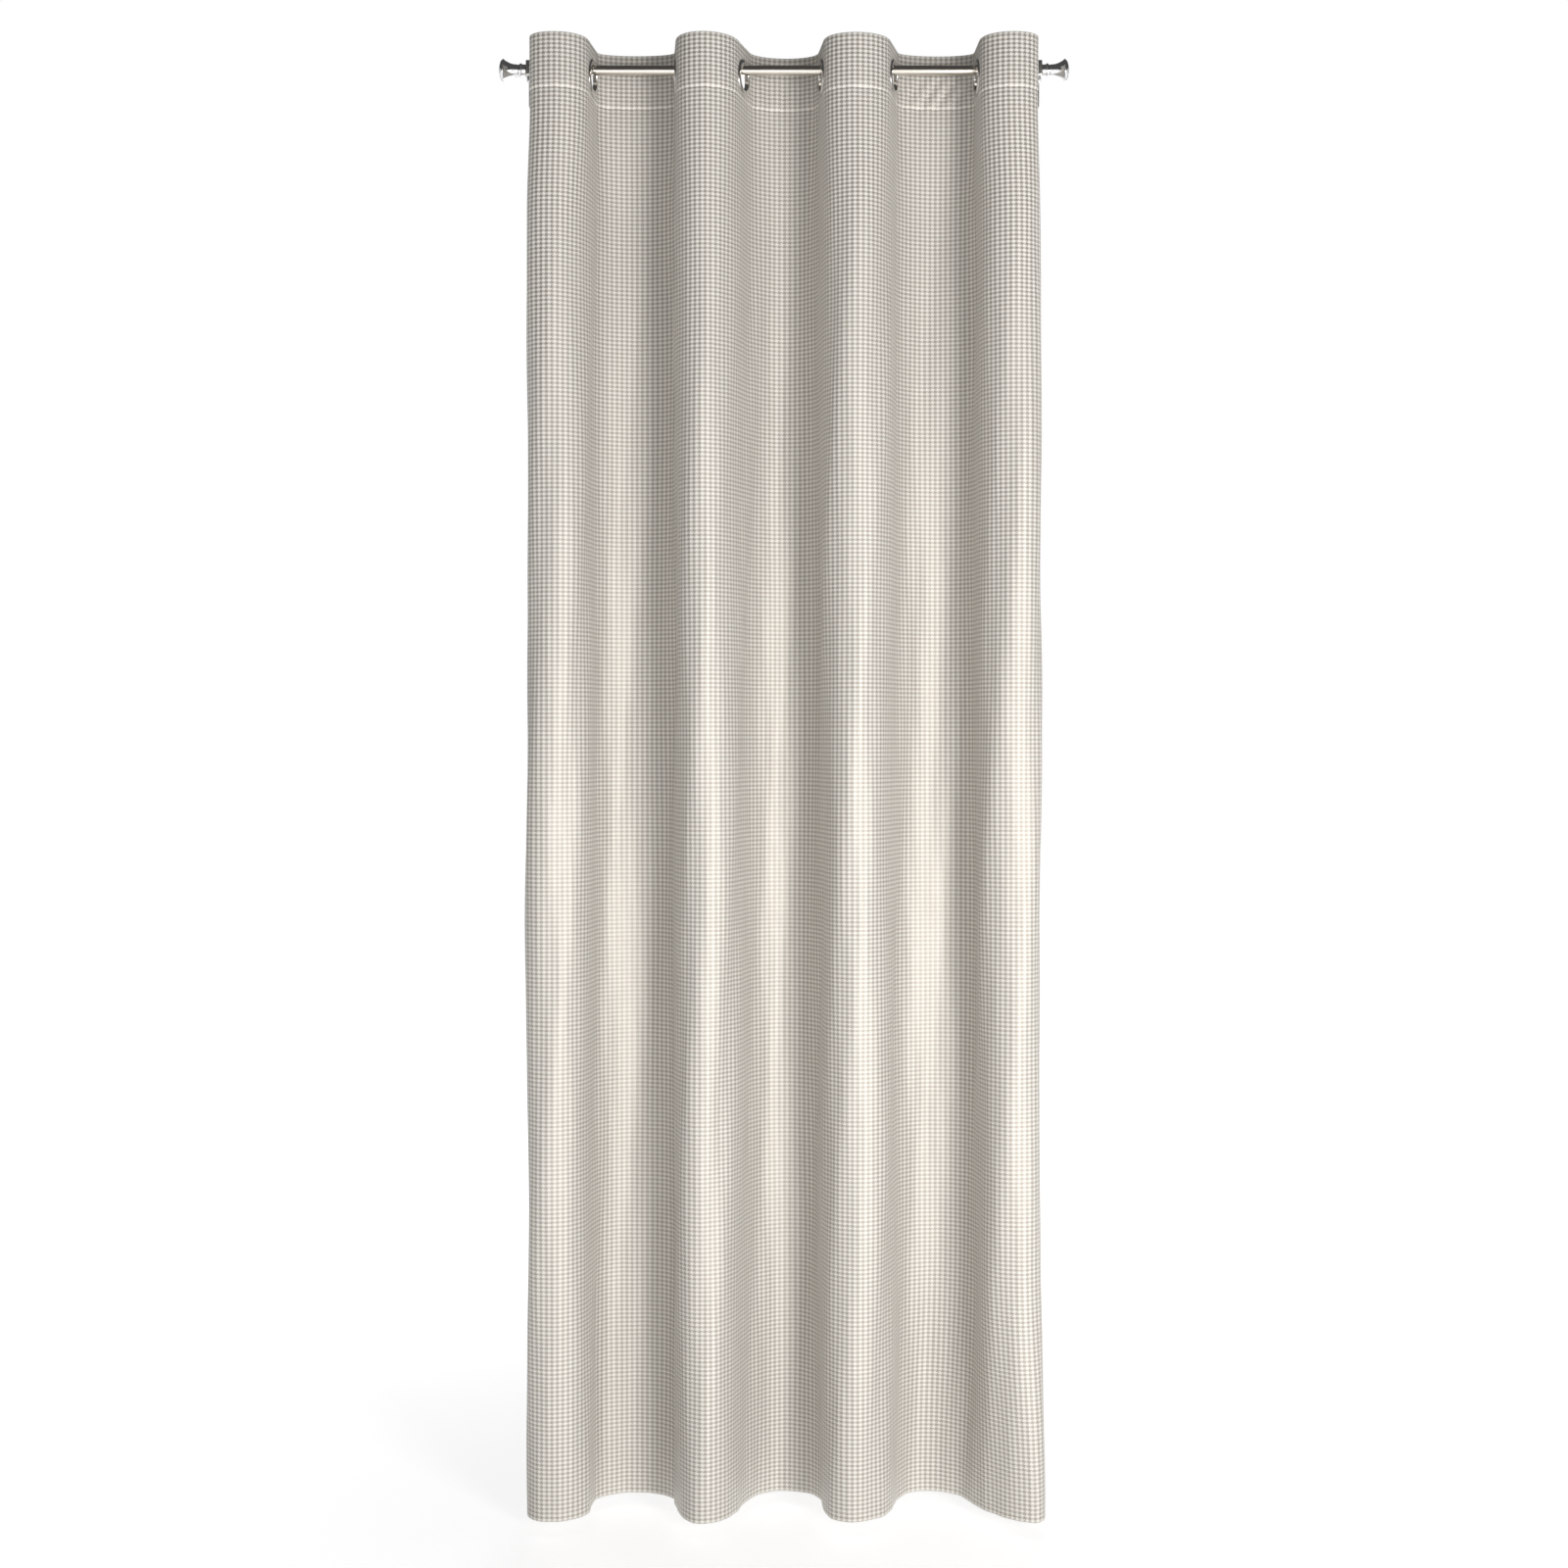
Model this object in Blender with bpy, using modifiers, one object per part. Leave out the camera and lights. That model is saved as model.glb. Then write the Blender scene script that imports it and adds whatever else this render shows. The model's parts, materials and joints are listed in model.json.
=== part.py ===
"""Eyelet curtain on a slim metal rod, held off the wall by two open-cup brackets.

Frame: the origin is on the wall, midway between the two wall plates and level with the
rod's axis. +X runs to the right along the rod, +Y points into the wall and +Z is up.
Blender 4.5, metres.
"""

from math import cos, pi, radians, sin

import bmesh
import bpy
from mathutils import Matrix, Vector

NAME = "eyelet_curtain_on_rod"
MM = 0.001

# ---- Clearances ------------------------------------------------------------------------
GAP = 0.3 * MM  # between faces that touch on the real object
SEAT_GAP = 0.4 * MM  # between the top of each eyelet's hole and the rod that carries it
TURNS = 24  # sides of a round piece

# ---- Rod -------------------------------------------------------------------------------
ROD_DIAMETER = 16 * MM
ROD_WALL = 1 * MM
PROJECTION = 85 * MM  # from the wall to the rod's axis

# ---- Cloth -----------------------------------------------------------------------------
CURTAIN_DROP = 2.400  # top edge to hem
EYELET_PITCH = 200 * MM  # between eyelet centres, along the cloth
EYELET_TO_SIDE_HEM = 5.5 * MM  # clear cloth between the last eyelet's rim and the side hem
EYELET_BELOW_TOP = 52 * MM  # eyelet's centre below the top edge
HEADING_DEPTH = 90 * MM
BOTTOM_HEM_DEPTH = 16 * MM
SIDE_HEM_DEPTH = 15 * MM
PANEL_THICKNESS = 1.0 * MM
STIFFENER_THICKNESS = 0.6 * MM
FACING_THICKNESS = 0.8 * MM
HEM_THICKNESS = 0.8 * MM
SETTLE_DEPTH = 200 * MM  # over which the stiff heading's folds turn into the soft ones below
SOFT_FLAT = 14 * MM  # straight cloth each side of a crossing, below the heading
OUTER_FOLD_SPREAD = 9 * MM  # how far the end folds move outwards below the heading
STEPS_PER_FOLD = 6

# Each fold's width at the rod, as a share of the free cloth between two eyelets, from the left.
FOLD_SHARES = (0.589, 0.972, 0.787, 0.915, 0.837, 0.979, 0.567)
# How far the cloth leans from square to the rod at each eyelet, in degrees: a front fold
# narrows towards the room where this is above 0.
SPLAY_DEGREES = (-22, 8, 5, 17, 7, 15, 3, -22)

# ---- Eyelets ---------------------------------------------------------------------------
EYELET_HOLE_DIAMETER = 41 * MM
EYELET_DIAMETER = 59 * MM
BARREL_WALL = 1.5 * MM
FLANGE_HEIGHT = 2.8 * MM
BACK_FLANGE_HEIGHT = 1.9 * MM
BACK_FLANGE_INSET = 0.7 * MM  # the back ring is this much smaller in radius

# ---- Finials ---------------------------------------------------------------------------
SLEEVE_WALL = 1.4 * MM
SLEEVE_LENGTH = 12 * MM
SLEEVE_END_WALL = 2 * MM
COLLAR_RISE = 1.7 * MM
COLLAR_WIDTH = 3.4 * MM
COLLAR_TO_END = 3.6 * MM  # collar's middle to the sleeve's outer end
EDGE_ROUND = 0.5 * MM  # on the small turned edges
FINIAL_LENGTH = 31.5 * MM
FINIAL_RIM_DIAMETER = 37 * MM
FINIAL_DOME = 6 * MM
STUD_DIAMETER = 10 * MM
STUD_LENGTH = 9 * MM
GRUB_DIAMETER = 3 * MM
GRUB_LENGTH = 3.2 * MM

# ---- Brackets --------------------------------------------------------------------------
CUP_WIDTH = 10 * MM
CUP_WALL = 2.7 * MM
CUP_FLOOR = 3.2 * MM
CUP_HEIGHT = 14 * MM  # above the rod's axis
CUP_TO_SLEEVE = 0.7 * MM
CUP_TO_EYELET = 1.5 * MM  # clear air between the end eyelet and the cup, along the rod
PLATE_WIDTH = 24 * MM
PLATE_HEIGHT = 70 * MM
PLATE_THICKNESS = 3 * MM
ARM_DIAMETER = 9 * MM
RIVET_DIAMETER = 6 * MM
RIVET_RECESS = 0.5 * MM
WALL_SCREW_DIAMETER = 4 * MM
WALL_SCREW_HEAD = 8 * MM
WALL_SCREW_HEAD_HEIGHT = 2.4 * MM
WALL_SCREW_LENGTH = 30 * MM
WALL_SCREW_SPACING = 46 * MM
THUMB_SCREW_DIAMETER = 4 * MM
THUMB_HEAD_DIAMETER = 9 * MM
THUMB_HEAD_HEIGHT = 7 * MM
THUMB_HEAD_SIDES = 12

# ---- Worked out from the values above --------------------------------------------------
ROD_RADIUS = ROD_DIAMETER / 2
HOLE_RADIUS = EYELET_HOLE_DIAMETER / 2
FLANGE_RADIUS = EYELET_DIAMETER / 2
BARREL_RADIUS = HOLE_RADIUS + BARREL_WALL
EYELET_Z = ROD_RADIUS + SEAT_GAP - HOLE_RADIUS
TOP_Z = EYELET_Z + EYELET_BELOW_TOP
HEM_Z = TOP_Z - CURTAIN_DROP
HEADING_Z = TOP_Z - HEADING_DEPTH
FREE_CLOTH = EYELET_PITCH - 2 * FLANGE_RADIUS
SIDE_MARGIN = FLANGE_RADIUS + EYELET_TO_SIDE_HEM + SIDE_HEM_DEPTH  # last eyelet to the side edge

# Layers of cloth, as the distance of each one's middle behind the panel's middle.
STIFFENER_BACK = PANEL_THICKNESS / 2 + GAP + STIFFENER_THICKNESS / 2
FACING_BACK = STIFFENER_BACK + STIFFENER_THICKNESS / 2 + GAP + FACING_THICKNESS / 2
HEM_BACK = PANEL_THICKNESS / 2 + GAP + HEM_THICKNESS / 2
FRONT_SEAT = PANEL_THICKNESS / 2 + GAP
BACK_SEAT = FACING_BACK + FACING_THICKNESS / 2 + GAP


def eyelet_places():
    """Each eyelet's place along the rod, with the row centred on the origin."""
    places = [0.0]
    for share in FOLD_SHARES:
        places.append(places[-1] + share * FREE_CLOTH)
    middle = places[-1] / 2
    return [place - middle for place in places]


EYELET_X = eyelet_places()
END_EYELET_REACH = FLANGE_RADIUS * abs(sin(radians(SPLAY_DEGREES[-1]))) + FLANGE_HEIGHT
CUP_INNER_X = EYELET_X[-1] + END_EYELET_REACH + CUP_TO_EYELET
CUP_X = CUP_INNER_X + CUP_WIDTH / 2
SLEEVE_X = CUP_INNER_X + CUP_WIDTH + CUP_TO_SLEEVE
ROD_END_X = SLEEVE_X + SLEEVE_LENGTH - SLEEVE_END_WALL - GAP
FINIAL_X = SLEEVE_X + SLEEVE_LENGTH + GAP
CUP_DEPTH = 2 * (ROD_RADIUS + GAP + CUP_WALL)
CUP_BOTTOM_Z = -(ROD_RADIUS + GAP + CUP_FLOOR)
SIDES = (("left", -1), ("right", 1))


# ---- Scene, materials and small helpers ------------------------------------------------
def clear_scene():
    for item in list(bpy.data.objects):
        bpy.data.objects.remove(item, do_unlink=True)


def new_collection(name):
    collection = bpy.data.collections.new(name)
    bpy.context.scene.collection.children.link(collection)
    return collection


def make_material(name, colour, roughness, metallic):
    material = bpy.data.materials.new(name)
    material.use_nodes = True
    material.diffuse_color = (*colour, 1)
    shader = material.node_tree.nodes["Principled BSDF"]
    shader.inputs["Base Color"].default_value = (*colour, 1)
    shader.inputs["Roughness"].default_value = roughness
    shader.inputs["Metallic"].default_value = metallic
    return material


def make_materials():
    """The finishes, keyed by the name that the record's slots use."""
    return {
        "houndstooth_cloth": make_material("houndstooth_cloth", (0.66, 0.63, 0.58), 0.7, 0.0),
        "heading_stiffener": make_material("heading_stiffener", (0.85, 0.84, 0.80), 0.9, 0.0),
        "eyelet_chrome": make_material("eyelet_chrome", (0.78, 0.77, 0.76), 0.16, 1.0),
        "rod_nickel": make_material("rod_nickel", (0.62, 0.59, 0.54), 0.26, 1.0),
        "finial_chrome": make_material("finial_chrome", (0.80, 0.80, 0.81), 0.08, 1.0),
        "bracket_nickel": make_material("bracket_nickel", (0.60, 0.58, 0.55), 0.32, 1.0),
        "screw_zinc": make_material("screw_zinc", (0.66, 0.67, 0.68), 0.35, 1.0),
    }


def new_object(name, mesh, collection, material=None, parent=None, matrix=None):
    item = bpy.data.objects.new(name, mesh)
    collection.objects.link(item)
    if material:
        mesh.materials.append(material)
    if parent:
        item.parent = parent
    item.matrix_local = matrix or Matrix.Identity(4)
    return item


def new_empty(name, collection, place, parent=None):
    """A joint's origin. It isn't a node."""
    empty = bpy.data.objects.new(name, None)
    empty.empty_display_size = 0.03
    collection.objects.link(empty)
    empty.parent = parent
    empty.location = place
    return empty


def as_cutter(item):
    item.hide_render = True
    item.display_type = "WIRE"
    return item


def cut(item, cutters):
    for cutter in cutters:
        boolean = item.modifiers.new("cut_" + cutter.name, "BOOLEAN")
        boolean.operation = "DIFFERENCE"
        boolean.object = cutter


def shade_round(mesh):
    mesh.shade_smooth()
    mesh.set_sharp_from_angle(angle=radians(35))


def turned(name, profile, collection, material=None, parent=None, matrix=None, turns=TURNS):
    """A ring or a solid of revolution about local Z.

    The profile is a list of (radius, height). It runs outwards over the top, down the outer
    side and back in underneath. A ring's profile is closed and stays off the axis.
    """
    ring = min(radius for radius, _ in profile) > 0
    mesh = bpy.data.meshes.new(name)
    points = [(radius, 0, height) for radius, height in profile]
    edges = [(i, i + 1) for i in range(len(points) - 1)]
    if ring:
        edges.append((len(points) - 1, 0))
    mesh.from_pydata(points, edges, [])
    item = new_object(name, mesh, collection, material, parent, matrix)
    screw = item.modifiers.new("turn", "SCREW")
    screw.axis = "Z"
    screw.steps = turns
    screw.render_steps = turns
    screw.use_merge_vertices = True
    screw.merge_threshold = 0.00001
    screw.use_smooth_shade = True
    return item


def cylinder(name, radius, length, collection, material=None, parent=None, matrix=None,
             turns=TURNS, bevel=0.0):
    """A cylinder along local Z, from 0 up to its length."""
    mesh = bpy.data.meshes.new(name)
    form = bmesh.new()
    bmesh.ops.create_cone(
        form, cap_ends=True, segments=turns, radius1=radius, radius2=radius, depth=length,
        matrix=Matrix.Translation((0, 0, length / 2)),
    )
    form.to_mesh(mesh)
    form.free()
    shade_round(mesh)
    item = new_object(name, mesh, collection, material, parent, matrix)
    if bevel:
        round_edges(item, bevel, 2)
    return item


def block(name, size, centre, collection, material=None, parent=None):
    """A box of that size about that centre, in the parent's axes."""
    mesh = bpy.data.meshes.new(name)
    form = bmesh.new()
    bmesh.ops.create_cube(form, size=1)
    bmesh.ops.scale(form, vec=Vector(size), verts=form.verts)
    bmesh.ops.translate(form, vec=Vector(centre), verts=form.verts)
    form.to_mesh(mesh)
    form.free()
    return new_object(name, mesh, collection, material, parent)


def round_edges(item, width, segments=2):
    bevel = item.modifiers.new("round_edges", "BEVEL")
    bevel.width = width
    bevel.segments = segments
    bevel.limit_method = "ANGLE"
    bevel.angle_limit = radians(40)


def pointing(direction, place):
    """A matrix that turns local Z to a direction and local X to world up where it can."""
    forward = Vector(direction).normalized()
    up = Vector((0, 0, 1))
    if abs(forward.dot(up)) > 0.99:
        up = Vector((0, 1, 0))
    side = forward.cross(up).normalized()
    up = side.cross(forward)
    matrix = Matrix((
        (up.x, side.x, forward.x, place[0]),
        (up.y, side.y, forward.y, place[1]),
        (up.z, side.z, forward.z, place[2]),
        (0, 0, 0, 1),
    ))
    if matrix.determinant() < 0:
        matrix.col[1] = -matrix.col[1]
    return matrix


# ---- The cloth's outline in plan -------------------------------------------------------
class Crossing:
    """Where the cloth crosses the rod: its place, its heading and its face's direction."""

    def __init__(self, index, x):
        lean = radians(SPLAY_DEGREES[index])
        towards_room = index % 2 == 0
        self.place = Vector((x, 0))
        self.along = Vector((sin(lean), -cos(lean) if towards_room else cos(lean)))
        self.face = Vector((self.along.y, -self.along.x))


def polyline_length(points):
    return sum((b - a).length for a, b in zip(points, points[1:]))


def bezier(a, b, c, d, steps):
    points = []
    for i in range(steps + 1):
        t = i / steps
        s = 1 - t
        points.append(a * s**3 + b * (3 * s * s * t) + c * (3 * s * t * t) + d * t**3)
    return points


def fold_line(first, last, flat, length):
    """One fold in plan: straight, curved and straight again, of exactly that length."""
    start = first.place + first.along * flat
    end = last.place - last.along * flat
    wanted = length - 2 * flat
    low, high = 0.0, length
    for _ in range(40):
        reach = (low + high) / 2
        curve = bezier(start, start + first.along * reach, end - last.along * reach, end, 64)
        if polyline_length(curve) < wanted:
            low = reach
        else:
            high = reach
    return [first.place, *curve, last.place]


def at_distance(line, distance):
    """The point that lies that far along a line of points."""
    for a, b in zip(line, line[1:]):
        step = (b - a).length
        if distance <= step:
            return a + (b - a) * (distance / step)
        distance -= step
    return line[-1]


def stations():
    """Distances along one fold at which the cloth gets a column of points.

    None lies under an eyelet, so each hole is cut in one flat face.
    """
    return [FLANGE_RADIUS + FREE_CLOTH * i / STEPS_PER_FOLD for i in range(STEPS_PER_FOLD + 1)]


def plan_line(places, flat):
    """The whole cloth in plan, from its left side edge to its right one."""
    crossings = [Crossing(i, x) for i, x in enumerate(places)]
    first, last = crossings[0], crossings[-1]
    points = [first.place - first.along * d for d in (SIDE_MARGIN, SIDE_MARGIN - SIDE_HEM_DEPTH)]
    points.append(first.place - first.along * FLANGE_RADIUS)
    for a, b in zip(crossings, crossings[1:]):
        line = fold_line(a, b, flat, EYELET_PITCH)
        points += [at_distance(line, distance) for distance in stations()]
    points.append(last.place + last.along * FLANGE_RADIUS)
    points += [last.place + last.along * d for d in (SIDE_MARGIN - SIDE_HEM_DEPTH, SIDE_MARGIN)]
    return points


def heading_plan():
    return plan_line(EYELET_X, FLANGE_RADIUS)


def soft_plan():
    places = list(EYELET_X)
    places[0] -= OUTER_FOLD_SPREAD
    places[-1] += OUTER_FOLD_SPREAD
    return plan_line(places, SOFT_FLAT)


def moved_back(points, distance):
    """The line again, moved that far to the cloth's back."""
    moved = []
    for i, point in enumerate(points):
        before = points[max(i - 1, 0)]
        after = points[min(i + 1, len(points) - 1)]
        along = (after - before).normalized()
        moved.append(point + Vector((-along.y, along.x)) * distance)
    return moved


def settled(z):
    """0 in the stiff heading, 1 in the soft cloth below it, and smooth between."""
    t = min(max((HEADING_Z - z) / SETTLE_DEPTH, 0), 1)
    return t * t * (3 - 2 * t)


def levels(top, bottom):
    """Heights at which the cloth gets a row of points, from top to bottom."""
    bends = [HEADING_Z - SETTLE_DEPTH * share for share in (0, 0.35, 0.65, 1)]
    soft = [(bends[-1] + HEM_Z) / 2]
    inside = [z for z in bends + soft if bottom + 0.5 * MM < z < top - 0.5 * MM]
    return [top, *inside, bottom]


def cloth_sheet(name, top, bottom, back, thickness, collection, material, parent, columns=None):
    """One layer of cloth: a sheet lofted between the heading's folds and the soft ones."""
    stiff = moved_back(heading_plan(), back)
    soft = moved_back(soft_plan(), back)
    if columns:
        stiff, soft = stiff[columns], soft[columns]
    mesh = bpy.data.meshes.new(name)
    form = bmesh.new()
    rows = []
    for z in levels(top, bottom):
        share = settled(z)
        line = [a.lerp(b, share) for a, b in zip(stiff, soft)]
        rows.append([form.verts.new((point.x, point.y, z)) for point in line])
    for upper, lower in zip(rows, rows[1:]):
        for i in range(len(upper) - 1):
            form.faces.new((upper[i], lower[i], lower[i + 1], upper[i + 1]))
    form.to_mesh(mesh)
    form.free()
    mesh.shade_smooth()
    item = new_object(name, mesh, collection, material, parent)
    solidify = item.modifiers.new("thickness", "SOLIDIFY")
    solidify.thickness = thickness
    solidify.offset = 0
    solidify.use_even_offset = True
    return item


# ---- The object's pieces ---------------------------------------------------------------
def make_rod(parts, metal, carrier):
    wall = [
        (ROD_RADIUS - ROD_WALL, ROD_END_X),
        (ROD_RADIUS, ROD_END_X),
        (ROD_RADIUS, -ROD_END_X),
        (ROD_RADIUS - ROD_WALL, -ROD_END_X),
    ]
    turned("rod_tube", wall, parts, metal, carrier, pointing((1, 0, 0), (0, 0, 0)))


def make_sleeve(side, sign, parts, cutters, chrome, carrier):
    """The socket that slips over the rod's end, with its raised collar."""
    bore = ROD_RADIUS + GAP
    outer = bore + SLEEVE_WALL
    collar = outer + COLLAR_RISE
    end = SLEEVE_LENGTH
    floor = end - SLEEVE_END_WALL
    stud_hole = STUD_DIAMETER / 2 + GAP
    middle = end - COLLAR_TO_END
    half = COLLAR_WIDTH / 2
    profile = [
        (stud_hole, end),
        (outer - EDGE_ROUND, end),
        (outer, end - EDGE_ROUND),
        (outer, middle + half),
        (collar - EDGE_ROUND, middle + half - EDGE_ROUND / 2),
        (collar, middle + EDGE_ROUND),
        (collar, middle - EDGE_ROUND),
        (collar - EDGE_ROUND, middle - half + EDGE_ROUND / 2),
        (outer, middle - half),
        (outer, EDGE_ROUND),
        (outer - EDGE_ROUND, 0),
        (bore, 0),
        (bore, floor),
        (stud_hole, floor),
    ]
    name = "finial_sleeve_" + side
    matrix = pointing((sign, 0, 0), (sign * SLEEVE_X, 0, 0))
    sleeve = turned(name, profile, parts, chrome, carrier, matrix)
    grub_x = sign * (SLEEVE_X + 3 * MM)
    hole = cylinder(
        "grub_hole_" + side, GRUB_DIAMETER / 2 + GAP, 3 * SLEEVE_WALL, cutters,
        parent=carrier, matrix=pointing((0, 1, 0), (grub_x, ROD_RADIUS - SLEEVE_WALL, 0)), turns=16,
    )
    cut(sleeve, [as_cutter(hole)])
    return grub_x


def make_finial(side, sign, parts, chrome, carrier):
    """A flared end knob: a domed rim, a trumpet that narrows to a neck, and a stud."""
    neck = ROD_RADIUS + GAP + SLEEVE_WALL
    rim = FINIAL_RIM_DIAMETER / 2
    stud = STUD_DIAMETER / 2
    flare = FINIAL_LENGTH - FINIAL_DOME - 2.5 * MM
    foot = 1.6 * MM
    dome = []
    for i in range(1, 5):
        angle = radians(90 - 18 * i)
        dome.append(((rim - 1.2 * MM) * cos(angle), FINIAL_LENGTH - FINIAL_DOME * (1 - sin(angle))))
    trumpet = []
    for i in range(7):
        left = 1 - i / 6
        spread = (rim - 1.5 * MM - neck) * left**2.2
        trumpet.append((neck + spread, foot + (flare - foot) * left))
    profile = [
        (0, FINIAL_LENGTH),
        *dome,
        (rim - 0.3 * MM, FINIAL_LENGTH - FINIAL_DOME),
        (rim, FINIAL_LENGTH - FINIAL_DOME - 0.9 * MM),
        (rim - 0.3 * MM, FINIAL_LENGTH - FINIAL_DOME - 1.8 * MM),
        *trumpet,
        (neck - 0.5 * MM, 1.3 * MM),
        (neck - 0.5 * MM, 0.5 * MM),
        (neck - 0.9 * MM, 0),
        (stud, 0),
        (stud, 0.5 * MM - STUD_LENGTH),
        (stud - 0.5 * MM, -STUD_LENGTH),
        (0, -STUD_LENGTH),
    ]
    matrix = pointing((sign, 0, 0), (sign * FINIAL_X, 0, 0))
    turned("finial_" + side, profile, parts, chrome, carrier, matrix)


def make_grub_screw(side, grub_x, parts, zinc, carrier):
    """The set screw that grips the rod from behind, with its hex socket."""
    tip = ROD_RADIUS + GAP
    radius = GRUB_DIAMETER / 2
    socket = 0.75 * MM
    profile = [
        (0, 1.2 * MM),
        (socket, 1.2 * MM),
        (socket, GRUB_LENGTH),
        (radius - 0.2 * MM, GRUB_LENGTH),
        (radius, GRUB_LENGTH - 0.2 * MM),
        (radius, 0.4 * MM),
        (radius - 0.4 * MM, 0),
        (0, 0),
    ]
    matrix = pointing((0, 1, 0), (grub_x, tip, 0))
    turned("grub_screw_" + side, profile, parts, zinc, carrier, matrix, turns=12)


def make_bracket(side, sign, parts, cutters, materials, root):
    """One wall bracket: plate, two wall screws, arm, open cup and thumb screw."""
    nickel, zinc = materials["bracket_nickel"], materials["screw_zinc"]
    x = sign * CUP_X
    plate = block(
        "wall_plate_" + side, (PLATE_WIDTH, PLATE_THICKNESS, PLATE_HEIGHT),
        (x, -PLATE_THICKNESS / 2, 0), parts, nickel, root,
    )
    round_edges(plate, 0.8 * MM)
    holes = []
    for label, z in (("upper", WALL_SCREW_SPACING / 2), ("lower", -WALL_SCREW_SPACING / 2)):
        holes.append(cylinder(
            f"screw_hole_{side}_{label}", WALL_SCREW_DIAMETER / 2 + GAP, 4 * PLATE_THICKNESS, cutters,
            parent=root, matrix=pointing((0, 1, 0), (x, -2.5 * PLATE_THICKNESS, z)), turns=16,
        ))
        make_wall_screw(f"wall_screw_{side}_{label}", x, z, parts, zinc, root)
    holes.append(cylinder(
        "rivet_hole_" + side, RIVET_DIAMETER / 2 + GAP, 4 * PLATE_THICKNESS, cutters,
        parent=root, matrix=pointing((0, 1, 0), (x, -2.5 * PLATE_THICKNESS, 0)), turns=TURNS,
    ))
    cut(plate, [as_cutter(hole) for hole in holes])
    make_arm(side, x, parts, nickel, root)
    make_cup(side, x, parts, cutters, nickel, root)
    make_thumb_screw(side, x, parts, zinc, root)


def make_wall_screw(name, x, z, parts, zinc, root):
    """A pan-head screw. Its shank runs through the plate and into the wall."""
    head = WALL_SCREW_HEAD / 2
    shank = WALL_SCREW_DIAMETER / 2
    profile = [
        (0, WALL_SCREW_HEAD_HEIGHT),
        (head * 0.6, WALL_SCREW_HEAD_HEIGHT * 0.92),
        (head * 0.92, WALL_SCREW_HEAD_HEIGHT * 0.55),
        (head, 0),
        (shank, 0),
        (shank, -WALL_SCREW_LENGTH * 0.85),
        (0, -WALL_SCREW_LENGTH),
    ]
    matrix = pointing((0, -1, 0), (x, -PLATE_THICKNESS - GAP, z))
    turned(name, profile, parts, zinc, root, matrix, turns=16)


def make_arm(side, x, parts, nickel, root):
    """The round arm from the plate to the cup, with the stub that is riveted in the plate."""
    length = PROJECTION - CUP_DEPTH / 2 - GAP - PLATE_THICKNESS - GAP
    radius = ARM_DIAMETER / 2
    stub = RIVET_DIAMETER / 2
    stub_end = -(PLATE_THICKNESS + GAP - RIVET_RECESS)
    profile = [
        (0, length),
        (radius - 0.5 * MM, length),
        (radius, length - 0.5 * MM),
        (radius, 0),
        (stub, 0),
        (stub, stub_end),
        (0, stub_end),
    ]
    matrix = pointing((0, -1, 0), (x, -PLATE_THICKNESS - GAP, 0))
    turned("bracket_arm_" + side, profile, parts, nickel, root, matrix)


def make_cup(side, x, parts, cutters, nickel, root):
    """The open-topped cup that the rod lies in."""
    height = CUP_HEIGHT - CUP_BOTTOM_Z
    cup = block(
        "rod_cup_" + side, (CUP_WIDTH, CUP_DEPTH, height),
        (x, -PROJECTION, CUP_BOTTOM_Z + height / 2), parts, nickel, root,
    )
    round_edges(cup, 1.6 * MM)
    bore = ROD_RADIUS + GAP
    slot = cylinder(
        "cup_bore_" + side, bore, 3 * CUP_WIDTH, cutters, parent=root,
        matrix=pointing((1, 0, 0), (x - 1.5 * CUP_WIDTH, -PROJECTION, 0)),
    )
    mouth = block(
        "cup_mouth_" + side, (3 * CUP_WIDTH, 2 * bore, 2 * CUP_HEIGHT),
        (x, -PROJECTION, CUP_HEIGHT), cutters, None, root,
    )
    screw_hole = cylinder(
        "thumb_hole_" + side, THUMB_SCREW_DIAMETER / 2 + GAP, 3 * CUP_FLOOR, cutters, parent=root,
        matrix=Matrix.Translation((x, -PROJECTION, CUP_BOTTOM_Z - CUP_FLOOR)), turns=16,
    )
    cut(cup, [as_cutter(slot), as_cutter(mouth), as_cutter(screw_hole)])


def make_thumb_screw(side, x, parts, zinc, root):
    """The finger screw under the cup, whose tip steadies the rod."""
    head = THUMB_HEAD_DIAMETER / 2
    shank = THUMB_SCREW_DIAMETER / 2
    tip_z = -(ROD_RADIUS + GAP)
    head_top = CUP_BOTTOM_Z - GAP
    profile = [
        (0, tip_z),
        (shank - 0.4 * MM, tip_z),
        (shank, tip_z - 0.4 * MM),
        (shank, head_top),
        (head - 0.5 * MM, head_top),
        (head, head_top - 0.5 * MM),
        (head, head_top - THUMB_HEAD_HEIGHT + 0.5 * MM),
        (head - 0.5 * MM, head_top - THUMB_HEAD_HEIGHT),
        (0, head_top - THUMB_HEAD_HEIGHT),
    ]
    matrix = Matrix.Translation((x, -PROJECTION, 0))
    turned("thumb_screw_" + side, profile, parts, zinc, root, matrix, turns=THUMB_HEAD_SIDES)


def front_ring_profile():
    """Domed flange on the cloth's face, with the barrel that passes through to the back."""
    seat = FRONT_SEAT
    top = seat + FLANGE_HEIGHT
    barrel_end = -(BACK_SEAT + BACK_FLANGE_HEIGHT - 0.4 * MM)
    edge = FLANGE_RADIUS
    hole = HOLE_RADIUS
    return [
        (hole, top - 0.9 * MM),
        (hole + 0.8 * MM, top - 0.2 * MM),
        (hole + (edge - hole) * 0.5, top),
        (edge - 1.2 * MM, top - 0.7 * MM),
        (edge, top - 2.1 * MM),
        (edge, seat),
        (BARREL_RADIUS, seat),
        (BARREL_RADIUS, barrel_end),
        (hole, barrel_end),
    ]


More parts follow.
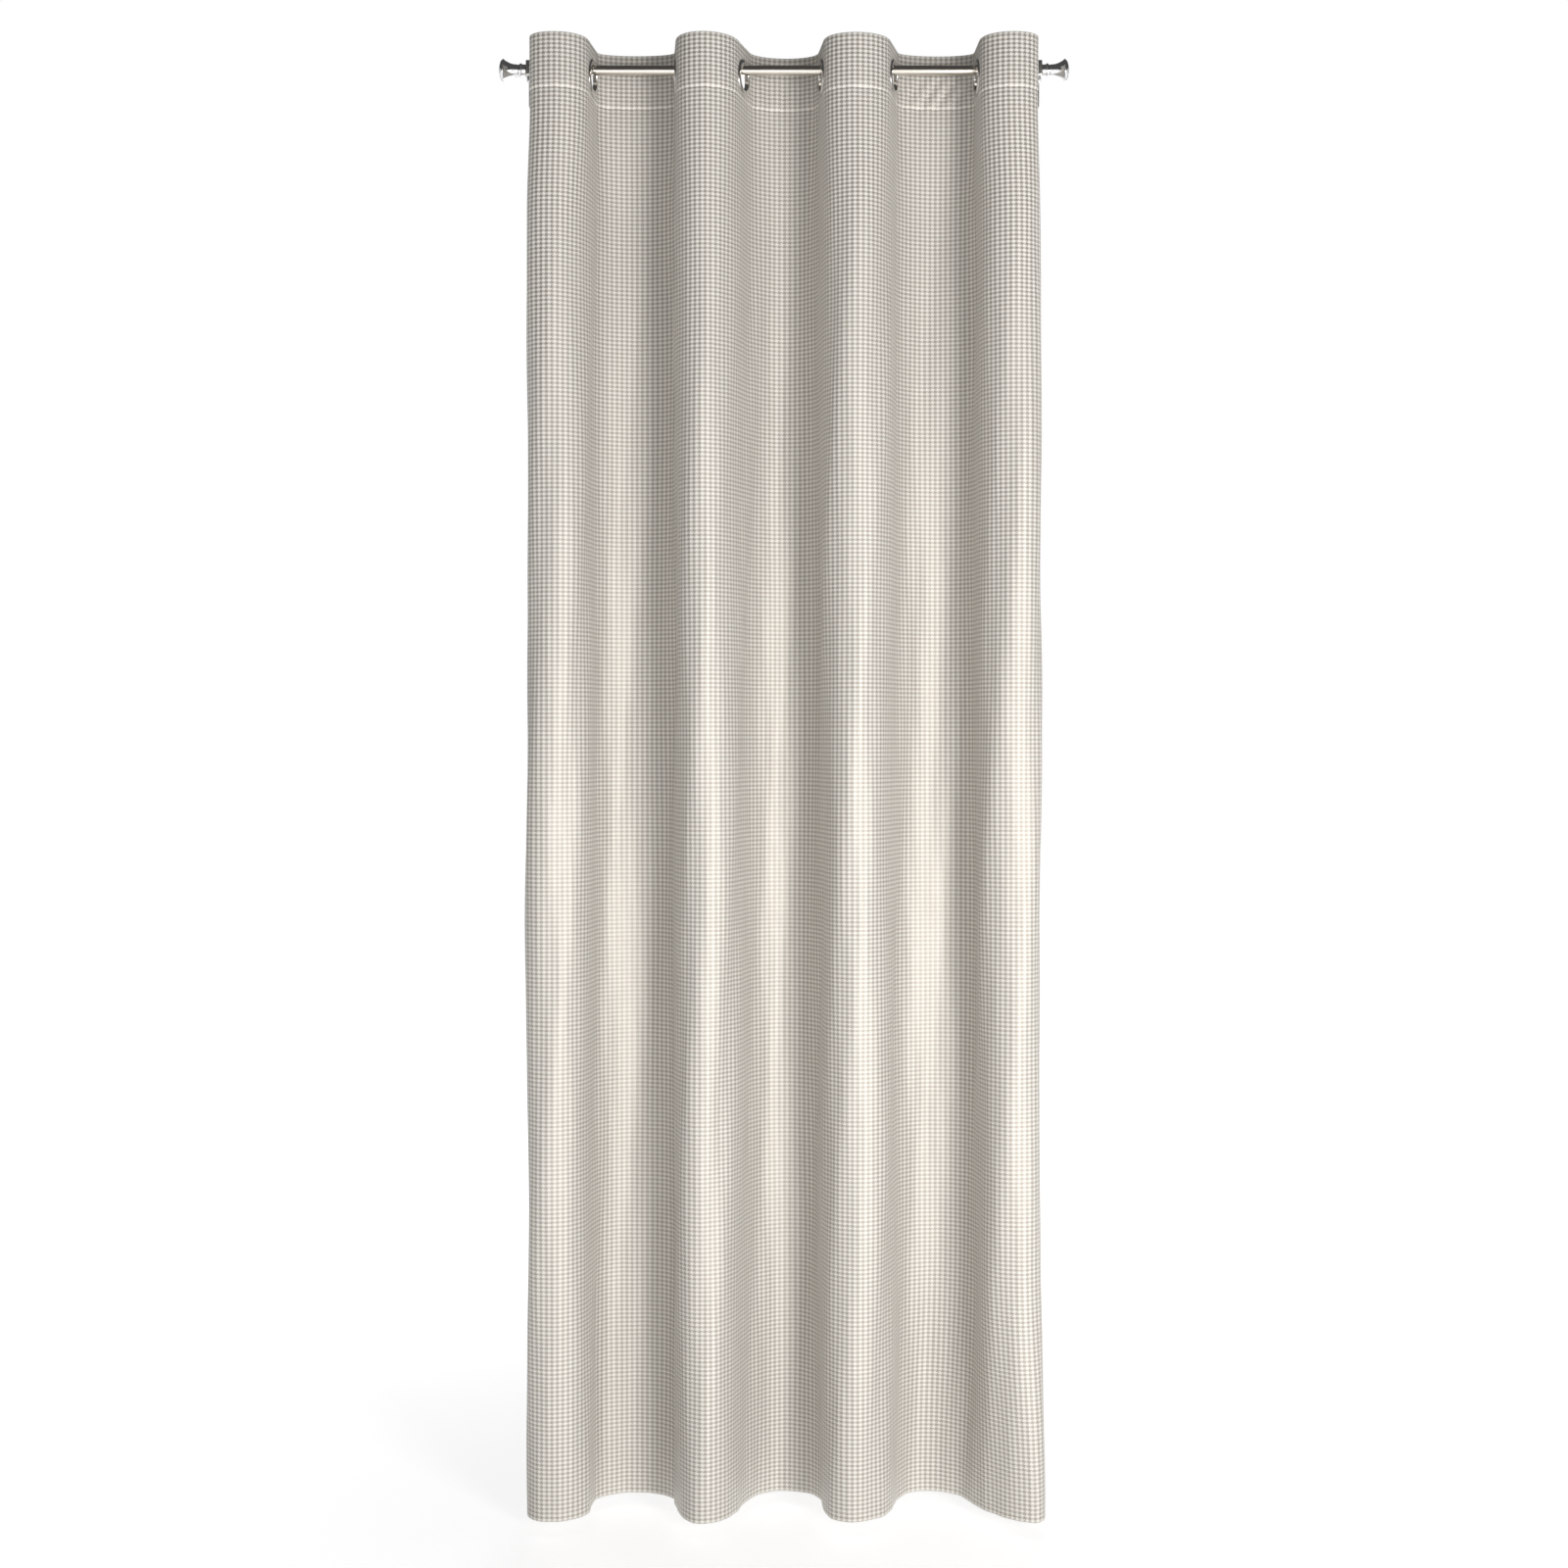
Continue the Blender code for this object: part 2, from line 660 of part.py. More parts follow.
def back_ring_profile():
    """The washer that the barrel is clinched over, behind the facing."""
    inner = BARREL_RADIUS + GAP
    edge = FLANGE_RADIUS - BACK_FLANGE_INSET
    top = -BACK_SEAT
    bottom = top - BACK_FLANGE_HEIGHT
    return [
        (inner, top),
        (edge, top),
        (edge, top - 0.8 * MM),
        (edge - 1.2 * MM, bottom + 0.2 * MM),
        (inner + 1.5 * MM, bottom),
        (inner, bottom + 0.3 * MM),
    ]


def make_eyelets(parts, cutters, chrome, carrier):
    """Both rings of every eyelet, and the hole cutters that the layers of cloth share."""
    front, back = front_ring_profile(), back_ring_profile()
    cutting = []
    for i, x in enumerate(EYELET_X):
        face = Crossing(i, x).face
        slider = carrier
        if i:
            slider = new_empty(f"eyelet_{i + 1}_slide", parts, (x, 0, 0), carrier)
        place = (0 if i else x, 0, EYELET_Z)
        matrix = pointing((face.x, face.y, 0), place)
        turned(f"eyelet_front_{i + 1}", front, parts, chrome, slider, matrix)
        turned(f"eyelet_back_{i + 1}", back, parts, chrome, slider, matrix)
        reach = 3 * (BACK_SEAT + BACK_FLANGE_HEIGHT)
        start = (x - face.x * reach, -face.y * reach, EYELET_Z)
        hole = cylinder(
            f"eyelet_hole_{i + 1}", (BARREL_RADIUS + GAP) / cos(pi / TURNS), 2 * reach, cutters,
            parent=carrier, matrix=pointing((face.x, face.y, 0), start),
        )
        cutting.append(as_cutter(hole))
    return cutting


def make_cloth(parts, materials, carrier, eyelet_holes):
    """The panel, and what is sewn to its back: stiffener, facing and hems."""
    cloth = materials["houndstooth_cloth"]
    panel = cloth_sheet(
        "curtain_panel", TOP_Z, HEM_Z, 0, PANEL_THICKNESS, parts, cloth, carrier)
    stiffener = cloth_sheet(
        "heading_stiffener", TOP_Z - 1.5 * MM, HEADING_Z + 3 * MM, STIFFENER_BACK,
        STIFFENER_THICKNESS, parts, materials["heading_stiffener"], carrier)
    facing = cloth_sheet(
        "heading_facing", TOP_Z, HEADING_Z, FACING_BACK, FACING_THICKNESS, parts, cloth, carrier)
    for layer in (panel, stiffener, facing):
        cut(layer, eyelet_holes)
    cloth_sheet(
        "bottom_hem", HEM_Z + BOTTOM_HEM_DEPTH, HEM_Z, HEM_BACK, HEM_THICKNESS, parts, cloth, carrier)
    hem_top = HEADING_Z - GAP
    hem_bottom = HEM_Z + BOTTOM_HEM_DEPTH + GAP
    for side, columns in (("left", slice(0, 2)), ("right", slice(-2, None))):
        cloth_sheet("side_hem_" + side, hem_top, hem_bottom, HEM_BACK, HEM_THICKNESS, parts,
                    cloth, carrier, columns)


def main():
    clear_scene()
    materials = make_materials()
    parts = new_collection(NAME)
    cutters = new_collection(NAME + "_cutters")
    root = new_empty("wall_line", parts, (0, 0, 0))
    carrier = new_empty("rod_lift", parts, (0, -PROJECTION, 0), root)
    chrome = materials["finial_chrome"]
    make_rod(parts, materials["rod_nickel"], carrier)
    for side, sign in SIDES:
        make_bracket(side, sign, parts, cutters, materials, root)
        grub_x = make_sleeve(side, sign, parts, cutters, chrome, carrier)
        make_finial(side, sign, parts, chrome, carrier)
        make_grub_screw(side, grub_x, parts, materials["screw_zinc"], carrier)
    holes = make_eyelets(parts, cutters, materials["eyelet_chrome"], carrier)
    make_cloth(parts, materials, carrier, holes)


main()
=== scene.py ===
"""Looks of an eyelet curtain on a slim metal rod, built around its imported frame.

The frame's origin is on the wall, midway between the two wall plates and level with the
rod's axis. +X runs to the right along the rod, +Y points into the wall and +Z is up.
Every length is in metres.
"""

import json
import logging
import random
from collections.abc import Sequence
from dataclasses import dataclass, field
from enum import Enum
from math import cos, pi, radians, sin

import bmesh
import bpy
import numpy as np
from mathutils import Matrix, Vector

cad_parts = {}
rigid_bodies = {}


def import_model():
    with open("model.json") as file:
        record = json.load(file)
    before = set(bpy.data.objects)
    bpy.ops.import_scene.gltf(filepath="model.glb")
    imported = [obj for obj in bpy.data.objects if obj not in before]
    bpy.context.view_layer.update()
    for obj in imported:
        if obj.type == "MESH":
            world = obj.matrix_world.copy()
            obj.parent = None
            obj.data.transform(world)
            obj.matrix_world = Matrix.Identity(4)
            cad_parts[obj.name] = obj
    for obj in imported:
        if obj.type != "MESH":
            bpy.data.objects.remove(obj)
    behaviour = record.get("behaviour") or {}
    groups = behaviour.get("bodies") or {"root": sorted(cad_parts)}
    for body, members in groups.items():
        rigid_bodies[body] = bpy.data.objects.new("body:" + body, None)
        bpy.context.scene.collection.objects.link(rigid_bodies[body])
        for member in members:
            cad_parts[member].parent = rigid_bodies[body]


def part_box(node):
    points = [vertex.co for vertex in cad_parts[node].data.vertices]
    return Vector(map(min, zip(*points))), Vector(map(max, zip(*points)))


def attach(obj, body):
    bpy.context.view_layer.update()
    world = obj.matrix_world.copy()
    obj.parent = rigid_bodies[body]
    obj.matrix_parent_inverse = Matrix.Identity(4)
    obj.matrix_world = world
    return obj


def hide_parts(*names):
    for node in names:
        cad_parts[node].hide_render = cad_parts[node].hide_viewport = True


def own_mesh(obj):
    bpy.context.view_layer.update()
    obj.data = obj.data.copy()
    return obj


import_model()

log = logging.getLogger("curtain")

MM = 0.001
TAU = 2 * pi
GAP = 0.3 * MM  # between faces that touch on the real object
SMOOTH_ANGLE = radians(32)


class Side(Enum):
    """The two ends of the rod, with the sign of each one's X."""

    LEFT = -1
    RIGHT = 1

    @property
    def label(self) -> str:
        """The word that piece names use."""
        return self.name.lower()


class Axis(Enum):
    """The local axis that a metal's fine lines run along."""

    X = 0
    Y = 1
    Z = 2


# ---- Node trees ------------------------------------------------------------------------
class Tree:
    """A node tree, with short ways to add nodes and link them."""

    def __init__(self, tree: bpy.types.NodeTree) -> None:
        """Empties the tree.

        Args:
            tree: The material's, world's or modifier's node tree.
        """
        self.tree = tree
        tree.nodes.clear()

    def add(self, kind: str, links: dict | None = None, **settings: object) -> bpy.types.Node:
        """Adds one node.

        Args:
            kind: The node's type name.
            links: Values or output sockets, keyed by input name or number.
            settings: The node's own properties.

        Returns:
            The new node.
        """
        node = self.tree.nodes.new(kind)
        for name, value in settings.items():
            setattr(node, name, value)
        for key, value in (links or {}).items():
            self.feed(node.inputs[key], value)
        return node

    def feed(self, socket: bpy.types.NodeSocket, value: object) -> None:
        """Links an output socket to an input, or sets the input's own value."""
        if isinstance(value, bpy.types.NodeSocket):
            self.tree.links.new(value, socket)
        else:
            socket.default_value = value

    def math(self, operation: str, a: object, b: object = 0.0, clamp: bool = False) -> bpy.types.NodeSocket:
        """One step of arithmetic.

        Args:
            operation: The Math node's operation.
            a: First value or socket.
            b: Second value or socket.
            clamp: Whether the result is kept between 0 and 1.

        Returns:
            The result's socket.
        """
        node = self.add("ShaderNodeMath", {0: a, 1: b}, operation=operation, use_clamp=clamp)
        return node.outputs[0]

    def mix(self, share: object, a: object, b: object) -> bpy.types.NodeSocket:
        """Mixes two colours.

        Args:
            share: 0 for the first colour, 1 for the second.
            a: First colour or socket.
            b: Second colour or socket.

        Returns:
            The mixed colour's socket.
        """
        node = self.add("ShaderNodeMix", {0: share, 6: a, 7: b}, data_type="RGBA")
        return node.outputs[2]

    def spread(self, value: object, low: float, high: float) -> bpy.types.NodeSocket:
        """Turns 0 to 1 into low to high.

        Args:
            value: The socket to read.
            low: Result at 0.
            high: Result at 1.

        Returns:
            The result's socket.
        """
        node = self.add("ShaderNodeMapRange", {0: value, 3: low, 4: high})
        return node.outputs[0]

    def noise(self, vector: object, scale: float, detail: float = 3.0) -> bpy.types.NodeSocket:
        """A noise pattern's factor.

        Args:
            vector: Where it is read.
            scale: Cells to a metre.
            detail: Octaves.

        Returns:
            The factor's socket.
        """
        links = {"Vector": vector, "Scale": scale, "Detail": detail}
        return self.add("ShaderNodeTexNoise", links).outputs["Fac"]

    def stretched(self, vector: object, scale: tuple[float, float, float]) -> bpy.types.NodeSocket:
        """The same coordinates, scaled along each axis."""
        return self.add("ShaderNodeMapping", {"Vector": vector, "Scale": scale}).outputs[0]


def rgb(red: float, green: float, blue: float) -> tuple[float, float, float, float]:
    """A linear colour from screen values of 0 to 255."""
    return (*((value / 255) ** 2.2 for value in (red, green, blue)), 1.0)


# ---- Finishes --------------------------------------------------------------------------
@dataclass(frozen=True)
class Finish:
    """What every finish has: a name and the record's slot that it belongs to."""

    name: str
    slot: str | None = None

    def material(self) -> bpy.types.Material:
        """The finish's material, made the first time that it is asked for."""
        name = self.name + "_finish"
        found = bpy.data.materials.get(name)
        if found:
            return found
        material = bpy.data.materials.new(name)
        material.use_nodes = True
        tree = Tree(material.node_tree)
        shader = tree.add("ShaderNodeBsdfPrincipled")
        tree.add("ShaderNodeOutputMaterial", {"Surface": shader.outputs[0]})
        self.dress(tree, shader)
        return material

    def dress(self, tree: Tree, shader: bpy.types.Node) -> None:
        """Sets the shader's sockets and patterns.

        Args:
            tree: The material's nodes.
            shader: Its Principled shader.
        """
        raise NotImplementedError


@dataclass(frozen=True)
class Houndstooth(Finish):
    """Two-tone cloth: four pale and four dark yarns each way, woven as a 2/2 twill.

    The dark yarns are glossy, so they turn pale where they face the light.
    """

    ground: tuple = rgb(218, 215, 209)
    mark: tuple = rgb(161, 154, 144)
    repeat_width: float = 8.7 * MM
    repeat_height: float = 7.0 * MM
    yarns: int = 8
    ground_roughness: float = 0.5
    mark_roughness: float = 0.44
    mark_gloss: float = 0.45
    sheen: float = 0.18
    shine: float = 0.5

    def dress(self, tree: Tree, shader: bpy.types.Node) -> None:
        """Weaves the pattern on the cloth's own UV map, which is in metres.

        Args:
            tree: The material's nodes.
            shader: Its Principled shader.
        """
        uv = tree.add("ShaderNodeUVMap", uv_map="cloth").outputs[0]
        split = tree.add("ShaderNodeSeparateXYZ", {0: uv})
        warp = tree.math("MULTIPLY", split.outputs[0], self.yarns / self.repeat_width)
        weft = tree.math("MULTIPLY", split.outputs[1], self.yarns / self.repeat_height)
        warp_number, weft_number = tree.math("FLOOR", warp), tree.math("FLOOR", weft)
        step = tree.math("SUBTRACT", warp_number, weft_number)
        over = tree.math("LESS_THAN", tree.math("FLOORED_MODULO", step, 4), 2)
        under = tree.math("SUBTRACT", 1, over)
        dark_warp, dark_weft = (
            tree.math("LESS_THAN", tree.math("FLOORED_MODULO", number, self.yarns), self.yarns / 2)
            for number in (warp_number, weft_number)
        )
        dark = tree.math("ADD", tree.math("MULTIPLY", over, dark_warp), tree.math("MULTIPLY", under, dark_weft))

        slub = tree.noise(tree.stretched(uv, (260, 18, 1)), 1.0, 2)
        cloud = tree.noise(uv, 7.0, 4)
        tone = tree.math("ADD", tree.spread(slub, -0.10, 0.10), tree.spread(cloud, -0.05, 0.05))
        ground = tree.mix(tree.math("ADD", tone, 0.15, True), self.ground, rgb(196, 192, 185))
        mark = tree.mix(tree.math("ADD", tone, 0.2, True), self.mark, rgb(140, 132, 122))
        tree.feed(shader.inputs["Base Color"], tree.mix(dark, ground, mark))
        rough = tree.spread(dark, self.ground_roughness, self.mark_roughness)
        tree.feed(shader.inputs["Roughness"], tree.math("ADD", rough, tree.spread(slub, -0.05, 0.05)))
        tree.feed(shader.inputs["Metallic"], tree.math("MULTIPLY", dark, self.mark_gloss))
        shader.inputs["Sheen Weight"].default_value = self.sheen
        shader.inputs["Sheen Roughness"].default_value = 0.4
        shader.inputs["Specular IOR Level"].default_value = self.shine

        warp_round = tree.math("SINE", tree.math("MULTIPLY", tree.math("FRACT", warp), pi))
        weft_round = tree.math("SINE", tree.math("MULTIPLY", tree.math("FRACT", weft), pi))
        upper = tree.math("MULTIPLY", over, warp_round)
        height = tree.math("ADD", upper, tree.math("MULTIPLY", under, weft_round))
        fuzz = tree.noise(uv, 2600.0, 2)
        rise = tree.math("ADD", height, tree.math("MULTIPLY", fuzz, 0.5))
        bump = tree.add("ShaderNodeBump", {"Strength": 0.55, "Distance": 0.12 * MM, "Height": rise})
        tree.feed(shader.inputs["Normal"], bump.outputs[0])


@dataclass(frozen=True)
class PlainWeave(Finish):
    """One-colour woven stuff, such as the stiffening tape or the sewing thread."""

    colour: tuple = rgb(236, 233, 224)
    shade: tuple = rgb(212, 208, 198)
    yarn: float = 0.7 * MM
    roughness: float = 0.85
    sheen: float = 0.1

    def dress(self, tree: Tree, shader: bpy.types.Node) -> None:
        """Weaves fine crossing yarns on Object coordinates.

        Args:
            tree: The material's nodes.
            shader: Its Principled shader.
        """
        place = tree.add("ShaderNodeTexCoord").outputs["Object"]
        split = tree.add("ShaderNodeSeparateXYZ", {0: place})
        across = tree.math("ADD", split.outputs[0], split.outputs[1])
        waves = [
            tree.math("SINE", tree.math("MULTIPLY", value, TAU / self.yarn / 2))
            for value in (across, split.outputs[2])
        ]
        weave = tree.math("MULTIPLY", *waves)
        specks = tree.noise(place, 900.0, 3)
        share = tree.math("ADD", tree.spread(weave, 0.1, 0.5), tree.spread(specks, -0.2, 0.2), True)
        tree.feed(shader.inputs["Base Color"], tree.mix(share, self.colour, self.shade))
        tree.feed(shader.inputs["Roughness"], tree.spread(specks, self.roughness - 0.08, self.roughness + 0.08))
        shader.inputs["Sheen Weight"].default_value = self.sheen
        bump = tree.add("ShaderNodeBump", {"Strength": 0.5, "Distance": 0.08 * MM, "Height": weave})
        tree.feed(shader.inputs["Normal"], bump.outputs[0])


@dataclass(frozen=True)
class Metal(Finish):
    """A metal with fine lines along one axis, faint smudges and a little wear."""

    colour: tuple = rgb(205, 203, 200)
    tarnish: tuple = rgb(178, 174, 168)
    roughness: float = 0.12
    smudge: float = 0.05
    lines: float = 0.0
    grain: Axis = Axis.X

    def dress(self, tree: Tree, shader: bpy.types.Node) -> None:
        """Sets colour, roughness and bump on Object coordinates.

        Args:
            tree: The material's nodes.
            shader: Its Principled shader.
        """
        place = tree.add("ShaderNodeTexCoord").outputs["Object"]
        fine, along = 5200.0, 22.0
        scale = tuple(along if axis is self.grain else fine for axis in Axis)
        brushed = tree.noise(tree.stretched(place, scale), 1.0, 2)
        smudges = tree.noise(place, 55.0, 4)
        specks = tree.noise(place, 700.0, 2)
        worn = tree.math("ADD", tree.spread(smudges, -0.25, 0.65), tree.spread(brushed, -0.2, 0.2), True)
        tree.feed(shader.inputs["Base Color"], tree.mix(worn, self.colour, self.tarnish))
        dull = tree.spread(smudges, self.roughness - self.smudge, self.roughness + self.smudge)
        rough = tree.math("ADD", dull, tree.spread(brushed, -0.4 * self.smudge, 0.4 * self.smudge))
        tree.feed(shader.inputs["Roughness"], tree.math("MAXIMUM", rough, 0.02))
        shader.inputs["Metallic"].default_value = 1.0
        lined = tree.math("MULTIPLY", brushed, self.lines)
        height = tree.math("ADD", lined, tree.math("MULTIPLY", specks, 0.04))
        bump = tree.add("ShaderNodeBump", {"Strength": 0.35, "Distance": 0.05 * MM, "Height": height})
        tree.feed(shader.inputs["Normal"], bump.outputs[0])


@dataclass(frozen=True)
class FloorPaint(Finish):
    """The studio's plain pale floor, with a painted glow (emission) that is weaker near the curtain and turns
    it white farther away.
    """

    colour: tuple = (0.55, 0.55, 0.55, 1)
    mottled: tuple = (0.52, 0.52, 0.52, 1)
    near_glow: float = 0.72
    far_glow: float = 1.05
    near_reach: float = 0.3
    far_reach: float = 2.2

    def dress(self, tree: Tree, shader: bpy.types.Node) -> None:
        """A matt surface with a faint mottle, and a painted emission glow that grows with distance.

        Args:
            tree: The material's nodes.
            shader: Its Principled shader.
        """
        place = tree.add("ShaderNodeTexCoord").outputs["Object"]
        mottle = tree.spread(tree.noise(place, 3.0, 3), 0, 0.1)
        tree.feed(shader.inputs["Base Color"], tree.mix(mottle, self.colour, self.mottled))
        shader.inputs["Roughness"].default_value = 0.9
        # Painted glow: the floor emits white light as if it were a lamp, less of it near the curtain and more
        # farther off.
        shader.inputs["Emission Color"].default_value = (1, 1, 1, 1)
        flat = tree.stretched(place, (1, 1, 0))
        reach = tree.add("ShaderNodeVectorMath", {0: flat}, operation="LENGTH").outputs["Value"]
        glow = tree.add("ShaderNodeMapRange", {
            0: reach, 1: self.near_reach, 2: self.far_reach, 3: self.near_glow, 4: self.far_glow,
        })
        tree.feed(shader.inputs["Emission Strength"], glow.outputs[0])


CLOTH = Houndstooth("houndstooth_cloth", "houndstooth_cloth")
STIFFENING = PlainWeave("heading_stiffening", "heading_stiffener")
THREAD = PlainWeave("sewing_thread", "houndstooth_cloth", colour=rgb(194, 189, 180),
                    shade=rgb(172, 166, 156), yarn=0.25 * MM, roughness=0.5, sheen=0.2)
EYELET_CHROME = Metal("eyelet_chrome", "eyelet_chrome", colour=rgb(222, 221, 220),
                      tarnish=rgb(196, 194, 191), roughness=0.13)
FINIAL_CHROME = Metal("finial_chrome", "finial_chrome", colour=rgb(226, 226, 227),
                      tarnish=rgb(204, 204, 206), roughness=0.07, smudge=0.03)
ROD_NICKEL = Metal("rod_nickel", "rod_nickel", colour=rgb(212, 206, 197), tarnish=rgb(190, 183, 172),
                   roughness=0.16, smudge=0.03, lines=0.12)
BRACKET_NICKEL = Metal("bracket_nickel", "bracket_nickel", colour=rgb(200, 197, 192),
                       tarnish=rgb(172, 169, 163), roughness=0.3, lines=0.4, grain=Axis.Z)
SCREW_ZINC = Metal("screw_zinc", "screw_zinc", colour=rgb(203, 205, 208), tarnish=rgb(170, 173, 176),
                   roughness=0.3, smudge=0.09)
GLOWING_FLOOR = FloorPaint("floor_paint")


# ---- Meshes ----------------------------------------------------------------------------
def new_piece(name: str, mesh: bpy.types.Mesh, finish: Finish) -> bpy.types.Object:
    """Puts a mesh in the scene as a piece.

    Args:
        name: The piece's name. A CAD node of the same name gets another one for its object.
        mesh: Its mesh, in place.
        finish: Its finish.

    Returns:
        The new object, at the origin.
    """
    taken = bpy.data.objects.get(name)
    if taken:
        taken.name = name + "_frame"
    piece = bpy.data.objects.new(name, mesh)
    bpy.context.scene.collection.objects.link(piece)
    mesh.materials.clear()
    mesh.materials.append(finish.material())
    return piece


def settled(piece: bpy.types.Object) -> bpy.types.Object:
    """Turns a piece with live modifiers into a plain mesh.

    Args:
        piece: The piece, whose modifiers are all set up.

    Returns:
        The same piece.
    """
    graph = bpy.context.evaluated_depsgraph_get()
    graph.update()
    mesh = bpy.data.meshes.new_from_object(piece.evaluated_get(graph), preserve_all_data_layers=True,
                                           depsgraph=graph)
    old = piece.data
    piece.modifiers.clear()
    piece.data = mesh
    mesh.name = piece.name
    bpy.data.meshes.remove(old)
    return piece


def finished(piece: bpy.types.Object, body: str, finish: Finish, *nodes: str) -> bpy.types.Object:
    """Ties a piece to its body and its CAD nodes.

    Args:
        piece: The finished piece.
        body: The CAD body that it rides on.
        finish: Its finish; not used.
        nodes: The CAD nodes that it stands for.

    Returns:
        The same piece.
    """
    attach(piece, body)
    if nodes:
        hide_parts(*nodes)
    log.info("%s: %d faces on %s", piece.name, len(piece.data.polygons), body)
    return piece


def pointing(direction: Sequence[float], place: Sequence[float]) -> Matrix:
    """A matrix that turns local Z to a direction and puts the origin at a place."""
    turn = Vector(direction).to_track_quat("Z", "Y").to_matrix().to_4x4()
    return Matrix.Translation(place) @ turn


Profile = list[tuple[float, float]]


def eased(profile: Profile, radius: float, steps: int = 3, closed: bool = False) -> Profile:
    """Rounds a profile's corners.

    Args:
        profile: Points of radius and height.
        radius: How far from a corner its round starts, at most.
        steps: Straight pieces in each round.
        closed: Whether the last point joins the first.

    Returns:
        The rounded profile.
    """
    points = [Vector(point) for point in profile]
    count = len(points)
    result: Profile = []
    for i, corner in enumerate(points):
        if not closed and i in (0, count - 1):
            result.append(tuple(corner))
            continue
        before, after = points[i - 1], points[(i + 1) % count]
        reach = min(radius, (before - corner).length * 0.4, (after - corner).length * 0.4)
        start = corner + (before - corner).normalized() * reach
        end = corner + (after - corner).normalized() * reach
        for k in range(steps + 1):
            t = k / steps
            point = start * (1 - t) ** 2 + corner * (2 * t * (1 - t)) + end * t * t
            result.append(tuple(point))
    return result


def turned(name: str, profile: Profile, matrix: Matrix, turns: int = 64,
           closed: bool = False) -> bpy.types.Mesh:
    """Turns a profile about local Z.

    Args:
        name: The mesh's name.
        profile: Points of radius and height, outwards over the top and down the outside.
        matrix: Where the turned shape goes.
        turns: Sides.
        closed: Whether it is a ring, whose profile joins up clear of the axis.

    Returns:
        A closed mesh whose faces point outwards.
    """
    form = bmesh.new()
    rings = []
    for radius, height in profile:
        if radius < 1e-7:
            rings.append([form.verts.new((0, 0, height))] * turns)
        else:
            rings.append([
                form.verts.new((radius * cos(TAU * k / turns), radius * sin(TAU * k / turns), height))
                for k in range(turns)
            ])
    pairs = list(zip(rings, rings[1:]))
    if closed:
        pairs.append((rings[-1], rings[0]))
    for upper, lower in pairs:
        for k in range(turns):
            n = (k + 1) % turns
            corners = list(dict.fromkeys((upper[k], lower[k], lower[n], upper[n])))
            form.faces.new(corners)
    bmesh.ops.transform(form, matrix=matrix, verts=form.verts)
    bmesh.ops.recalc_face_normals(form, faces=form.faces)
    return made_mesh(name, form)


def made_mesh(name: str, form: bmesh.types.BMesh) -> bpy.types.Mesh:
    """Turns a bmesh into a smooth-shaded mesh with sharp edges where it bends hard.

    Args:
        name: The mesh's name.
        form: The bmesh, which is freed.

    Returns:
        The mesh.
    """
    mesh = bpy.data.meshes.new(name)
    form.to_mesh(mesh)
    form.free()
    mesh.shade_smooth()
    mesh.set_sharp_from_angle(angle=SMOOTH_ANGLE)
    return mesh


def smoothstep(value: np.ndarray | float) -> np.ndarray | float:
    """0 below 0, 1 above 1, and smooth between."""
    t = np.clip(value, 0, 1)
    return t * t * (3 - 2 * t)


def bell(value: np.ndarray, width: float) -> np.ndarray:
    """1 at 0, falling off smoothly on both sides."""
    return np.exp(-((value / width) ** 2))


# ---- Repeats made with Geometry Nodes --------------------------------------------------
class RepeatTree:
    """A Geometry Nodes tree with named inputs, and how it is run on a piece."""

    def __init__(self, name: str, inputs: dict[str, tuple[str, object]]) -> None:
        """Makes the tree and its sockets.

        Args:
            name: The tree's name.
            inputs: Socket type and default value of each named input.
        """
        self.group = bpy.data.node_groups.new(name, "GeometryNodeTree")
        self.tree = Tree(self.group)
        face = self.group.interface
        face.new_socket("Geometry", in_out="INPUT", socket_type="NodeSocketGeometry")
        face.new_socket("Geometry", in_out="OUTPUT", socket_type="NodeSocketGeometry")
        self.ids: dict[str, str] = {}
        for label, (kind, value) in inputs.items():
            socket = face.new_socket(label, in_out="INPUT", socket_type=kind)
            self.ids[label] = socket.identifier
            if value is not None:
                socket.default_value = value
        self.start = self.tree.add("NodeGroupInput")
        self.build()

    def build(self) -> None:
        """Adds the tree's nodes."""
        raise NotImplementedError

    def close(self, geometry: bpy.types.NodeSocket) -> None:
        """Ends the tree: real geometry, and its material."""
        real = self.tree.add("GeometryNodeRealizeInstances", {0: geometry})
        dressed = self.tree.add("GeometryNodeSetMaterial",
                                {"Geometry": real.outputs[0], "Material": self.start.outputs["Material"]})
        smooth = self.tree.add("GeometryNodeSetShadeSmooth", {"Geometry": dressed.outputs[0]})
        self.tree.add("NodeGroupOutput", {0: smooth.outputs[0]})

    def run(self, piece: bpy.types.Object, **values: object) -> bpy.types.Object:
        """Runs the tree on a piece and leaves a plain mesh.

        Args:
            piece: The piece whose mesh the tree reads.
            values: Inputs by name, with underscores for spaces.

        Returns:
            The same piece.
        """
        modifier = piece.modifiers.new(self.group.name, "NODES")
        modifier.node_group = self.group
        for label, value in values.items():
            modifier[self.ids[label.replace("_", " ")]] = value
        return settled(piece)


